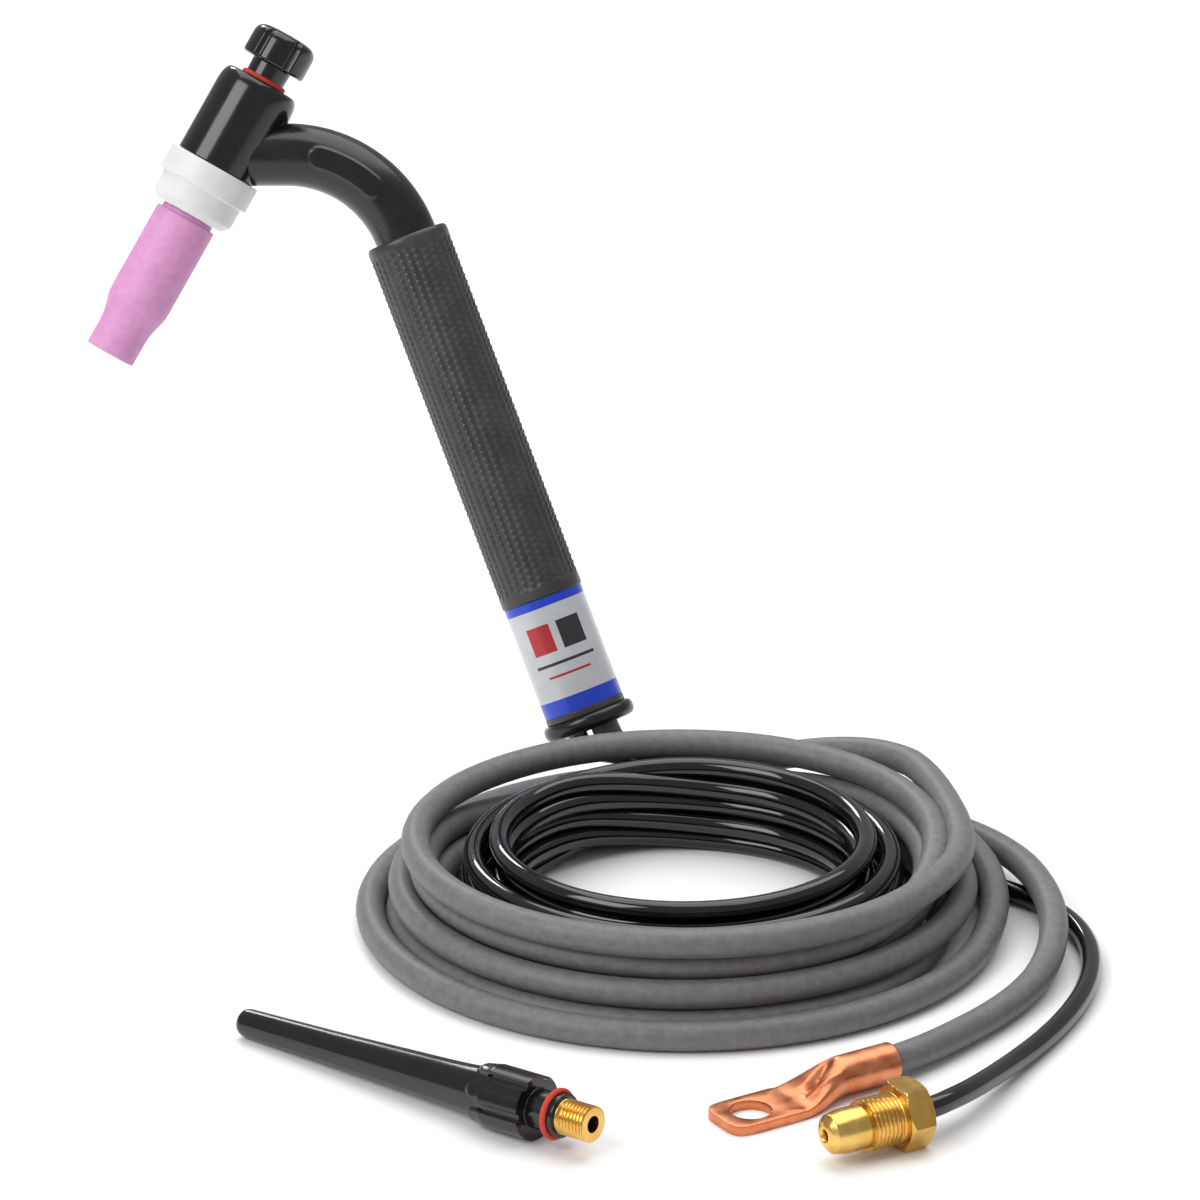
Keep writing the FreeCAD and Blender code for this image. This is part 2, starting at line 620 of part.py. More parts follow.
node("power_cable_coil", turned("power_cable_coil", [
    ("cable_coil_bore", "0"),
    ("cable_coil_radius", "0"),
    ("cable_coil_waist", "cable_radius * 2"),
    ("cable_coil_waist", "cable_coil_step"),
    ("cable_coil_crown", "cable_coil_step + cable_radius * 2"),
    ("cable_coil_crown - cable_radius / 2", "cable_coil_height"),
    ("cable_coil_bore + cable_radius / 2", "cable_coil_height"),
    ("cable_coil_bore", "cable_coil_height - cable_radius"),
]), floor_place)
node("gas_hose_coil", turned("gas_hose_coil", [
    ("hose_coil_bore", "0"),
    ("hose_coil_radius", "0"),
    ("hose_coil_radius", "hose_coil_height"),
    ("hose_coil_bore", "hose_coil_height"),
]), floor_place)

# --- copper lug --------------------------------------------------------------------------
# In the lug's frame +Z runs from the cable towards the palm, and +X points down.

lug = doc.addObject("PartDesign::Body", "cable_lug")
barrel_ring = circle_sketch(lug, ["lug_radius"], suffix="_barrel")
barrel = lug.newObject("PartDesign::Pad", "lug_barrel_pad")
barrel.Profile = barrel_ring
barrel.setExpression("Length", bound("lug_barrel"))
waist_ring = circle_sketch(lug, ["lug_radius"], suffix="_waist_ring")
waist_ring.setExpression("AttachmentOffset.Base.z", bound("lug_barrel"))
waist_flat = outline(lug, [
    ("lug_radius - lug_plate", "-lug_width / 2"),
    ("lug_radius", "-lug_width / 2"),
    ("lug_radius", "lug_width / 2"),
    ("lug_radius - lug_plate", "lug_width / 2"),
], "XY_Plane", "_waist_flat")
waist_flat.setExpression("AttachmentOffset.Base.z", bound("lug_waist"))
waist = lug.newObject("PartDesign::AdditiveLoft", "lug_waist_loft")
waist.Profile = waist_ring
waist.Sections = [waist_flat]
waist.Ruled = True
palm_outline = outline(lug, [
    ("lug_radius - lug_plate", "lug_waist"),
    ("lug_radius", "lug_waist"),
    ("lug_radius", "lug_length"),
    ("lug_radius - lug_plate", "lug_length"),
], "XZ_Plane", "_palm")
palm = lug.newObject("PartDesign::Pad", "lug_palm_pad")
palm.Profile = palm_outline
palm.setExpression("Length", bound("lug_width"))
palm.Midplane = True
bore_ring = circle_sketch(lug, ["lug_bore"], suffix="_bore")
bore = lug.newObject("PartDesign::Pocket", "lug_bore_pocket")
bore.Profile = bore_ring
bore.setExpression("Length", bound("lug_barrel - 2"))
bore.Reversed = True
hole_ring = circle_sketch(lug, ["lug_hole"], "YZ_Plane", "_hole", "0", "lug_hole_at")
hole = lug.newObject("PartDesign::Pocket", "lug_hole_pocket")
hole.Profile = hole_ring
hole.setExpression("Length", bound("lug_radius * 2"))
hole.Reversed = True
node("cable_lug", lug, lug_place)

# --- gas fitting -------------------------------------------------------------------------
# In the fitting's frame +Z runs from the hose towards the nose, 0 at the nut's rear face.

NUT_END = "hex_length + gas_thread_length"
hex_bar = hexagon("gas_nut_hex", "hex_flats", "hex_length")
thread_bar = cylinder("gas_nut_thread", "gas_thread", NUT_END)
stem_space = cylinder("gas_nut_bore", "nipple_stem + thread_gap * 2", NUT_END + " + 2", "-1")
rear_space = cylinder("gas_nut_rear", "nut_counterbore", "hex_length / 2 + 1", "-1")
node("gas_nut", cut("gas_nut", joined("gas_nut_bars", hex_bar, thread_bar), stem_space, rear_space),
     fitting_place)

NOSE_END = NUT_END + " + nose_length"
node("gas_nipple", turned("gas_nipple", [
    ("nose_hole", "hex_length / 2 + thread_gap"),
    ("hose_radius + ferrule_wall", "hex_length / 2 + thread_gap"),
    ("nipple_stem", "hex_length / 2 + 1"),
    ("nipple_stem", NUT_END + " + thread_gap"),
    ("nose_radius", NUT_END + " + thread_gap"),
    ("nose_radius", NUT_END + " + nose_length * 0.4"),
    ("nose_radius * 0.93", NUT_END + " + nose_length * 0.62"),
    ("nose_radius * 0.76", NUT_END + " + nose_length * 0.82"),
    ("nose_tip", NOSE_END),
    ("nose_hole", NOSE_END),
]), fitting_place)
node("gas_end_ferrule", turned("gas_end_ferrule", [
    ("hose_radius", "-3"),
    ("hose_radius + ferrule_wall", "-3"),
    ("hose_radius + ferrule_wall", "hex_length / 2"),
    ("nose_hole", "hex_length / 2"),
    ("nose_hole", "0.5"),
    ("hose_radius", "0.5"),
]), fitting_place)

# --- long back cap, lying loose ----------------------------------------------------------

pitch_of_cap = math.degrees(math.asin(size("(bulb_radius - long_tip) / bulb_end")))
long_place = on_floor(size("long_x"), size("long_y"), size("long_tip"), size("long_turn"),
                      90 - pitch_of_cap)
bulb = turned("long_cap_turn", [
    ("0", "0"),
    ("long_tip - 1.2", "0"),
    ("long_tip", "1.2"),
    ("long_mid", "long_rod * 0.45"),
    ("long_root", "long_rod"),
    ("long_root + 1.1", "bulb_start - 4"),
    ("bulb_radius - 0.8", "bulb_start"),
    ("bulb_radius", "bulb_start + 2.5"),
    ("bulb_radius", "bulb_end - 1.2"),
    ("bulb_radius - 1.2", "bulb_end"),
    ("long_neck", "bulb_end"),
    ("long_neck", "long_collar_end - 2"),
    ("long_collar", "long_collar_end - 2"),
    ("long_collar", "long_collar_end"),
    ("long_bore", "long_collar_end"),
    ("long_bore", "bulb_start"),
    ("0", "bulb_start"),
])
node("long_cap", bulb, long_place)
node("long_cap_insert", turned("long_cap_insert", [
    ("electrode_radius + part_gap", "long_collar_end"),
    ("cap_thread", "long_collar_end"),
    ("cap_thread", "long_thread_end"),
    ("long_bore", "long_thread_end"),
    ("long_bore", "long_thread_end - 6"),
    ("electrode_radius + part_gap", "long_thread_end - 6"),
]), long_place)
long_ring = doc.addObject("Part::Torus", "long_cap_oring")
long_ring.setExpression("Radius1", bound("long_neck + oring_section"))
long_ring.setExpression("Radius2", bound("oring_section"))
long_ring.Placement.Base = Vector(0, 0, size("long_collar_end - 2 - oring_section"))
node("long_cap_oring", long_ring, long_place)

# --- check and write ---------------------------------------------------------------------

doc.recompute()
faults = [item.Label for item in doc.Objects
          if "Invalid" in item.State or "Error" in item.State]
for thing in parts:
    if thing.Shape.isNull() or not thing.Shape.isValid():
        faults.append(thing.Label)
if faults:
    raise RuntimeError("these did not build: " + ", ".join(sorted(set(faults))))
os.makedirs("parts", exist_ok=True)
for thing in parts:
    thing.Shape.exportStep("parts/%s.step" % thing.Label)
    print("%-22s volume %9.1f solids %d" % (thing.Label, thing.Shape.Volume,
                                           len(thing.Shape.Solids)))
print("floor at", floor_place.Base, "head axis", head_place.Rotation.multVec(ABOUT_Z),
      "head centre", head_place.Base)
print("neck pivot", torch_place.multVec(Vector(-bend * (1 - math.cos(turn / 2)), 0,
                                               bend * math.sin(turn / 2))),
      "swing axis", torch_place.Rotation.multVec(ABOUT_Y))
print("lug hole", lug_place.multVec(Vector(size("lug_radius"), 0, size("lug_hole_at"))))
print("nut thread", fitting_place.multVec(Vector(0, 0, size(NUT_END))),
      fitting_place.Rotation.multVec(ABOUT_Z))
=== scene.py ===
"""Studio scene of a TIG welding torch with its coiled leads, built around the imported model."""
from __future__ import annotations

import json
import logging
import math
from collections.abc import Callable, Sequence
from dataclasses import dataclass, field
from enum import Enum

import bmesh
import bpy
from mathutils import Matrix, Vector

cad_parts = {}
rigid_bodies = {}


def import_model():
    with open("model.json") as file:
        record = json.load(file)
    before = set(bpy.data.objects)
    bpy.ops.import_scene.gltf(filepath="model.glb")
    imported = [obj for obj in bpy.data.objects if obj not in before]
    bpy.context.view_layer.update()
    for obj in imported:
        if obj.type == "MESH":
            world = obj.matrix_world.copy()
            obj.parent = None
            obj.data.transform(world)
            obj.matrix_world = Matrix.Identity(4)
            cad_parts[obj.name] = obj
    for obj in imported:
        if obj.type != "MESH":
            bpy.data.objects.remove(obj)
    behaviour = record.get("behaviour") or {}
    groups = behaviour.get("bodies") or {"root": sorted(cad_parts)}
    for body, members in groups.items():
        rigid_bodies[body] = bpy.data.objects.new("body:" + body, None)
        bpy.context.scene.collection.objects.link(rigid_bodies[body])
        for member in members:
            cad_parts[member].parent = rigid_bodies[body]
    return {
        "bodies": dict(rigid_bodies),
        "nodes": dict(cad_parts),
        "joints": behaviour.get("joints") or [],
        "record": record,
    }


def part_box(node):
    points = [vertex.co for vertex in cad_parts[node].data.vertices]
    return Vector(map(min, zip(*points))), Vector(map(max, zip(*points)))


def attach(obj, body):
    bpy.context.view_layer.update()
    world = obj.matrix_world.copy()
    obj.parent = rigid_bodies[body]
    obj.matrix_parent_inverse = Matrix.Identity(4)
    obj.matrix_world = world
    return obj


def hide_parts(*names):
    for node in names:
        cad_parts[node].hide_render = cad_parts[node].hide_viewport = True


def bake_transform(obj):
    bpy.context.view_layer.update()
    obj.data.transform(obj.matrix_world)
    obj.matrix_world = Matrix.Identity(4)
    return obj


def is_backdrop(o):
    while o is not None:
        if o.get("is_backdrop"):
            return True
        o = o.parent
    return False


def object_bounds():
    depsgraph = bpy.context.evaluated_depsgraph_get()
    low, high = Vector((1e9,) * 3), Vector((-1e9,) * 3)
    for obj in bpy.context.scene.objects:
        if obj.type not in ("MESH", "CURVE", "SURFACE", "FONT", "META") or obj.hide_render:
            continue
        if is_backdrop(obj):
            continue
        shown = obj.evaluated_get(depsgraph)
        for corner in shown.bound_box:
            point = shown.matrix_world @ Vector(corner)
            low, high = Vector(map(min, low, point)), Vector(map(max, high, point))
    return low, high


LOG = logging.getLogger("tig_torch")
MM = 0.001
FULL_TURN = 2 * math.pi
GROMMET_END = -173.2    # the grommet's foot, in millimetres from the handle's upper face

Point = tuple[float, float, float]
Outline = Sequence[tuple[float, float]]
Offset = Callable[[float, float, float], float]


# --- small helpers -------------------------------------------------------------------------

def rgb(code: str) -> tuple[float, float, float, float]:
    """Turn an sRGB hex colour into linear light.

    Args:
        code: Six hex digits.

    Returns:
        Linear red, green, blue and an alpha of one.
    """
    shares = [int(code[i:i + 2], 16) / 255 for i in (0, 2, 4)]
    linear = [s / 12.92 if s <= 0.04045 else ((s + 0.055) / 1.055) ** 2.4 for s in shares]
    return (linear[0], linear[1], linear[2], 1.0)


def smooth(share: float) -> float:
    """Ease a share between nought and one, flat at both ends."""
    share = min(max(share, 0.0), 1.0)
    return share * share * (3 - 2 * share)


def frame_matrix(origin: Vector, across: Vector, along: Vector) -> Matrix:
    """Build a placement from its Y and Z directions.

    Args:
        origin: Where the frame stands, in metres.
        across: The frame's Y direction.
        along: The frame's Z direction.

    Returns:
        The placement as a matrix.
    """
    z = along.normalized()
    y = (across - z * across.dot(z)).normalized()
    x = y.cross(z)
    turn = Matrix((x, y, z)).transposed().to_4x4()
    return Matrix.Translation(origin) @ turn


def joint(frame: dict, name: str) -> dict:
    """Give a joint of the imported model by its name."""
    return next(item for item in frame["joints"] if item["name"] == name)


def mount(frame: dict, name: str) -> dict:
    """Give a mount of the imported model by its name."""
    return next(item for item in frame["record"]["mounts"] if item["name"] == name)


# --- finishes ------------------------------------------------------------------------------

def add(tree: bpy.types.NodeTree, kind: str, settings: dict | None = None,
        inputs: dict | None = None) -> bpy.types.Node:
    """Add one node with its settings, values and links.

    Args:
        tree: The material's node tree.
        kind: The node's type name.
        settings: Properties of the node itself.
        inputs: Values or output sockets for its inputs, by name or number.

    Returns:
        The new node.
    """
    node = tree.nodes.new(kind)
    for key, value in (settings or {}).items():
        setattr(node, key, value)
    for key, value in (inputs or {}).items():
        if isinstance(value, bpy.types.NodeSocket):
            tree.links.new(value, node.inputs[key])
        else:
            node.inputs[key].default_value = value
    return node


@dataclass(frozen=True)
class Finish:
    """A surface finish: its colours, gloss and the grain that its making leaves."""

    name: str
    light: str
    dark: str
    roughness: float
    spread: float = 0.06
    metallic: float = 0.0
    ior: float = 1.5
    grain_mm: float = 0.4
    mottle_mm: float = 9.0
    bump_mm: float = 0.02
    coat: float = 0.0
    coat_roughness: float = 0.05

    def material(self) -> bpy.types.Material:
        """Build the material, or give the one that was built before."""
        made = bpy.data.materials.get(self.name)
        if made:
            return made
        made = bpy.data.materials.new(self.name)
        made.use_nodes = True
        tree = made.node_tree
        shader = tree.nodes["Principled BSDF"]
        shader.inputs["Metallic"].default_value = self.metallic
        shader.inputs["IOR"].default_value = self.ior
        shader.inputs["Coat Weight"].default_value = self.coat
        shader.inputs["Coat Roughness"].default_value = self.coat_roughness
        place = add(tree, "ShaderNodeTexCoord").outputs["Object"]
        mottle = self.cloud(tree, place, self.mottle_mm, 3.0)
        grain = self.cloud(tree, place, self.grain_mm, 2.0)
        self.paint(tree, shader, mottle, grain)
        rough = add(tree, "ShaderNodeMapRange", None, {
            "Value": mottle, "From Min": 0.3, "From Max": 0.7,
            "To Min": self.roughness - self.spread, "To Max": self.roughness + self.spread})
        tree.links.new(rough.outputs["Result"], shader.inputs["Roughness"])
        bump = add(tree, "ShaderNodeBump", None, {
            "Height": grain, "Strength": 0.6, "Distance": self.bump_mm * MM})
        tree.links.new(bump.outputs["Normal"], shader.inputs["Normal"])
        return made

    def paint(self, tree: bpy.types.NodeTree, shader: bpy.types.Node,
              mottle: bpy.types.NodeSocket, grain: bpy.types.NodeSocket) -> None:
        """Colour the surface between its dark and light tones by the mottle and the grain."""
        both = add(tree, "ShaderNodeMath", {"operation": "MULTIPLY_ADD"},
                   {0: grain, 1: 0.35, 2: mottle})
        ramp = add(tree, "ShaderNodeValToRGB", None, {"Fac": both.outputs[0]})
        ramp.color_ramp.elements[0].position = 0.45
        ramp.color_ramp.elements[0].color = rgb(self.dark)
        ramp.color_ramp.elements[1].position = 0.9
        ramp.color_ramp.elements[1].color = rgb(self.light)
        tree.links.new(ramp.outputs["Color"], shader.inputs["Base Color"])

    @staticmethod
    def cloud(tree: bpy.types.NodeTree, place: bpy.types.NodeSocket, size_mm: float,
              detail: float) -> bpy.types.NodeSocket:
        """Give soft noise whose patches are about size_mm across."""
        noise = add(tree, "ShaderNodeTexNoise", None, {
            "Vector": place, "Scale": 1 / (size_mm * MM), "Detail": detail, "Roughness": 0.55})
        return noise.outputs["Fac"]


@dataclass(frozen=True)
class LabelFinish(Finish):
    """Silver metallised polyester film with printed bands and plain blocks of colour."""

    length_mm: float = 38.8

    def paint(self, tree: bpy.types.NodeTree, shader: bpy.types.Node,
              mottle: bpy.types.NodeSocket, grain: bpy.types.NodeSocket) -> None:
        """Print blue end bands, a red and a dark block and two rules over the silver film."""
        uv = add(tree, "ShaderNodeTexCoord").outputs["UV"]
        split = add(tree, "ShaderNodeSeparateXYZ", None, {0: uv})
        round_share, down = split.outputs["X"], split.outputs["Y"]
        colour = add(tree, "ShaderNodeMix", {"data_type": "RGBA"}, {
            "Factor": mottle, 6: rgb(self.dark), 7: rgb(self.light)}).outputs[2]
        blue, red, dark = rgb("1b3fc4"), rgb("b3262a"), rgb("2b2d31")
        # Each: its sides as shares of the way round, its ends in millimetres down the film.
        blocks = [
            (0.0, 1.0, -1.0, 3.0, blue),
            (0.0, 1.0, 33.4, 40.0, blue),
            (0.635, 0.735, 8.5, 18.0, red),
            (0.765, 0.865, 8.5, 18.0, dark),
            (0.62, 0.88, 21.4, 22.4, dark),
            (0.66, 0.84, 25.6, 26.4, red),
        ]
        for left, right, top, bottom, tone in blocks:
            inside = self.band(tree, round_share, left, right)
            low = self.band(tree, down, top / self.length_mm, bottom / self.length_mm)
            both = add(tree, "ShaderNodeMath", {"operation": "MULTIPLY"}, {0: inside, 1: low})
            colour = add(tree, "ShaderNodeMix", {"data_type": "RGBA"}, {
                "Factor": both.outputs[0], 6: colour, 7: tone}).outputs[2]
        tree.links.new(colour, shader.inputs["Base Color"])

    @staticmethod
    def band(tree: bpy.types.NodeTree, value: bpy.types.NodeSocket, low: float,
             high: float) -> bpy.types.NodeSocket:
        """Give one where value lies between low and high, and nought elsewhere."""
        inside = add(tree, "ShaderNodeMath", {"operation": "COMPARE"}, {
            0: value, 1: (low + high) / 2, 2: (high - low) / 2})
        return inside.outputs[0]


# Moulded nylon with a matte, slightly dusty skin: dark grey, soft wide highlights. Its grain,
# like that of the finishes below, is drawn coarser than the real one so that it shows.
GRIP = Finish("moulded_nylon_grip", "3e3e3f", "2d2d2e", 0.36, 0.05, bump_mm=0.03)
# Polished phenolic: near black with crisp window reflections.
PHENOLIC = Finish("polished_phenolic", "0f0f10", "09090a", 0.16, 0.04, bump_mm=0.005, coat=0.2)
# Moulded silicone rubber neck: black and glossy, with broad soft reflections.
NECK_RUBBER = Finish("glossy_neck_rubber", "121213", "0b0b0c", 0.26, 0.05, bump_mm=0.006, coat=0.15)
# Moulded rubber ring: black with a waxy sheen.
RING_RUBBER = Finish("moulded_ring_rubber", "121213", "0b0b0c", 0.24, 0.05, bump_mm=0.01)
# Turned fluoropolymer: waxy white, faint tool lines.
FLUOROPOLYMER = Finish("turned_fluoropolymer", "e2e2e1", "d6d6d5", 0.42, 0.05, ior=1.38)
# Fired alumina, pressed from pink powder: chalky, with a fine mottle and a grainy skin.
ALUMINA = Finish("fired_pink_alumina", "d996c9", "cc86bb", 0.6, 0.06, ior=1.76, grain_mm=0.5,
                 mottle_mm=2.5, bump_mm=0.05)
# Turned brass: warm yellow metal with a slight tarnish in patches.
BRASS = Finish("turned_brass", "edc674", "d6a552", 0.24, 0.06, metallic=1.0, bump_mm=0.01)
# Formed and annealed copper: salmon metal, satin, darker in the folds.
COPPER = Finish("annealed_copper", "e79a72", "c9724b", 0.34, 0.08, metallic=1.0, mottle_mm=5.0,
                bump_mm=0.03)
# Silicone rubber ring: bright red, soft sheen.
SILICONE = Finish("red_silicone", "b82a1e", "981d15", 0.38, 0.05)
# Ground tungsten: grey metal with a fine grind.
TUNGSTEN = Finish("ground_tungsten", "8c8f95", "6f7278", 0.3, 0.05, metallic=1.0)
# Extruded rubber cable jacket: mid grey, matte, powdery talc in the grain.
JACKET = Finish("extruded_rubber_jacket", "767677", "636365", 0.5, 0.05, grain_mm=0.7,
                mottle_mm=3.0, bump_mm=0.06)
# Extruded vinyl hose: black, smooth and wet-looking.
VINYL = Finish("extruded_vinyl_hose", "0b0b0c", "060607", 0.09, 0.02, bump_mm=0.003, coat=0.3)
# Metallised polyester film: silver with a soft gloss under clear lacquer.
LABEL = LabelFinish("metallised_label_film", "d3d5d8", "b4b7bc", 0.34, 0.05, metallic=0.25,
                    coat=0.3)
# Painted white board: even and matte, with no grain that shows.
TABLE = Finish("painted_white_table", "fbfbfb", "f6f6f6", 0.7, 0.04, mottle_mm=400.0)

NODE_FINISH: dict[str, Finish] = {
    "grip_plastic": GRIP, "label_film": LABEL, "black_rubber": NECK_RUBBER,
    "black_plastic": PHENOLIC, "white_insulator": FLUOROPOLYMER, "pink_alumina": ALUMINA,
    "brass_parts": BRASS, "copper_parts": COPPER, "red_silicone": SILICONE,
    "tungsten": TUNGSTEN, "grey_cable": JACKET, "black_hose": VINYL,
}


# --- turning and placing meshes ------------------------------------------------------------

def rounded(points: Outline, radii: Sequence[float], steps: int = 5) -> list[tuple[float, float]]:
    """Round the corners of an open outline.

    Args:
        points: The corners as (radius, height) in millimetres.
        radii: How far each corner is cut back along its sides, nought for a sharp one.
        steps: Points along each rounded corner.

    Returns:
        The outline with a smooth curve at each rounded corner.
    """
    result = [points[0]]
    for index in range(1, len(points) - 1):
        corner = Vector(points[index])
        reach = radii[index]
        if not reach:
            result.append(points[index])
            continue
        back = Vector(points[index - 1]) - corner
        ahead = Vector(points[index + 1]) - corner
        start = corner + back.normalized() * min(reach, back.length * 0.48)
        end = corner + ahead.normalized() * min(reach, ahead.length * 0.48)
        for step in range(steps + 1):
            share = step / steps
            spot = start.lerp(corner, share).lerp(corner.lerp(end, share), share)
            result.append((spot.x, spot.y))
    result.append(points[-1])
    return result


def spun(outline: Outline, segments: int = 96) -> bmesh.types.BMesh:
    """Spin an outline of (radius, height) in millimetres about Z.

    Args:
        outline: The points from one end to the other.
        segments: Steps around.

    Returns:
        The closed surface in metres.
    """
    mesh = bmesh.new()
    corners = [mesh.verts.new((r * MM, 0, z * MM)) for r, z in outline]
    edges = [mesh.edges.new(pair) for pair in zip(corners, corners[1:])]
    bmesh.ops.spin(mesh, geom=corners + edges, cent=(0, 0, 0), axis=(0, 0, 1), dvec=(0, 0, 0),
                   angle=FULL_TURN, steps=segments, use_merge=True, use_duplicate=False)
    bmesh.ops.remove_doubles(mesh, verts=mesh.verts, dist=0.002 * MM)
    bmesh.ops.recalc_face_normals(mesh, faces=mesh.faces)
    return mesh


def finer(outline: Outline, step: float) -> list[tuple[float, float]]:
    """Divide an outline's runs so that no step is longer than step millimetres."""
    result = [outline[0]]
    for (r0, z0), (r1, z1) in zip(outline, outline[1:]):
        count = max(1, math.ceil(math.hypot(r1 - r0, z1 - z0) / step))
        result += [(r0 + (r1 - r0) * k / count, z0 + (z1 - z0) * k / count)
                   for k in range(1, count + 1)]
    return result


def push(mesh: bmesh.types.BMesh, offset: Offset) -> None:
    """Move each point of a turned mesh away from its axis.

    Args:
        mesh: The mesh about Z, in metres.
        offset: Gives the move in millimetres from radius, angle and height in millimetres.
    """
    for vert in mesh.verts:
        radius = math.hypot(vert.co.x, vert.co.y)
        if radius < 0.05 * MM:
            continue
        angle = math.atan2(vert.co.y, vert.co.x)
        grow = 1 + offset(radius / MM, angle, vert.co.z / MM) * MM / radius
        vert.co.x *= grow
        vert.co.y *= grow


def piece(name: str, mesh: bmesh.types.BMesh, place: Matrix, finish: Finish,
          sharp_deg: float = 40.0) -> bpy.types.Object:
    """Turn a mesh into an object whose place is in its mesh.

    Args:
        name: The piece's name.
        mesh: Its mesh, which is freed.
        place: Where it goes.
        finish: Its surface.
        sharp_deg: Edges that turn by more than this stay sharp.

    Returns:
        The object.
    """
    bmesh.ops.transform(mesh, matrix=place, verts=mesh.verts)
    for face in mesh.faces:
        face.smooth = True
    for edge in mesh.edges:
        if edge.is_manifold and edge.calc_face_angle(0.0) > math.radians(sharp_deg):
            edge.smooth = False
    data = bpy.data.meshes.new(name)
    mesh.to_mesh(data)
    mesh.free()
    data.materials.append(finish.material())
    thing = bpy.data.objects.new(name, data)
    bpy.context.scene.collection.objects.link(thing)
    return thing


def settle(thing: bpy.types.Object, body: str, slot: str, *nodes: str) -> bpy.types.Object:
    """Hand a finished piece over to its body and hide the nodes it stands for."""
    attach(thing, body)
    if nodes:
        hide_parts(*nodes)
    LOG.info("%s: %d faces", thing.name, len(thing.data.polygons) if thing.type == "MESH" else 0)
    return thing


def thread(radius: float, low: float, high: float, pitch: float, depth: float) -> Offset:
    """Give the offset that cuts a right-hand thread into a turned bar.

    Args:
        radius: The bar's radius, in millimetres like the rest.
        low: The height at which the thread starts.
        high: The height at which it runs out.
        pitch: The rise of one turn.
        depth: The thread's depth.

    Returns:
        A function for push.
    """
    def offset(r: float, angle: float, z: float) -> float:
        """Sink the groove, fading in and out over two thirds of a pitch at its ends."""
        if r < radius - 0.05 or not low <= z <= high:
            return 0.0
        phase = (z / pitch - angle / FULL_TURN) % 1.0
        flank = abs(2 * phase - 1)
        fade = smooth((z - low) / pitch * 1.5) * smooth((high - z) / pitch * 1.5)
        return -depth * smooth(1.25 * (1 - flank)) * fade

    return offset


# --- frames --------------------------------------------------------------------------------

@dataclass(frozen=True)
class Layout:
    """Where the loose ends lie: millimetres from the coil's foot and degrees over the table."""

    grip_face: float = 64.0
    gas_fitting: Point = (67.3, -161.6, 9.525)
    lug: Point = (61.1, -119.8, 6.1)
    lug_heading: float = 212.5
    long_cap: Point = (-134.6, -87.0, 4.4)
    long_cap_heading: float = -39.1
    long_cap_rise: float = 2.71


@dataclass
class Frames:
    """The places that the pieces are built in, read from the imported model."""

    torch: Matrix
    head: Matrix
    floor: Vector
    fitting: Matrix
    lug: Matrix
    long_cap: Matrix

    @classmethod
    def read(cls, frame: dict, layout: Layout) -> Frames:
        """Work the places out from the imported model.

        Args:
            frame: The model's joints and record.
            layout: Where the loose ends lie.

        Returns:
            The places.
        """
        grip_axis = Vector(mount(frame, "grip")["axis"]).normalized()
        swing = Vector(joint(frame, "neck_flex")["axis"]).normalized()
        head_axis = -Vector(joint(frame, "nozzle_unscrew")["axis"]).normalized()
        torch = frame_matrix(grip_axis * layout.grip_face * MM, swing, grip_axis)
        neck = Neck()
        head_spot = torch @ (neck.end(neck.straight) * MM)
        low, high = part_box("power_cable_coil")
        floor = Vector(((low.x + high.x) / 2, (low.y + high.y) / 2, low.z))
        fitting_way = Vector(joint(frame, "gas_nut_spin")["axis"]).normalized()
        return cls(
            torch, frame_matrix(head_spot, swing, head_axis), floor,
            cls.lying(floor, layout.gas_fitting, fitting_way),
            cls.lying(floor, layout.lug, cls.heading(layout.lug_heading, 0.0)),
            cls.lying(floor, layout.long_cap,
                      cls.heading(layout.long_cap_heading, layout.long_cap_rise)))

    @staticmethod
    def lying(floor: Vector, spot: Point, way: Vector) -> Matrix:
        """Place a part that lies on the table at a spot and points along a direction."""
        return frame_matrix(floor + Vector(spot) * MM, Vector((0, 0, 1)).cross(way), way)

    @staticmethod
    def heading(degrees: float, rise_deg: float) -> Vector:
        """Give the direction at that many degrees over the table, tilted up."""
        turn, rise = math.radians(degrees), math.radians(rise_deg)
        return Vector((math.cos(turn) * math.cos(rise), math.sin(turn) * math.cos(rise),
                       math.sin(rise)))


# --- cords ---------------------------------------------------------------------------------

class Stiffness(Enum):
    """How much a cord resists bending."""

    MEDIUM = "medium"
    STIFF = "stiff"


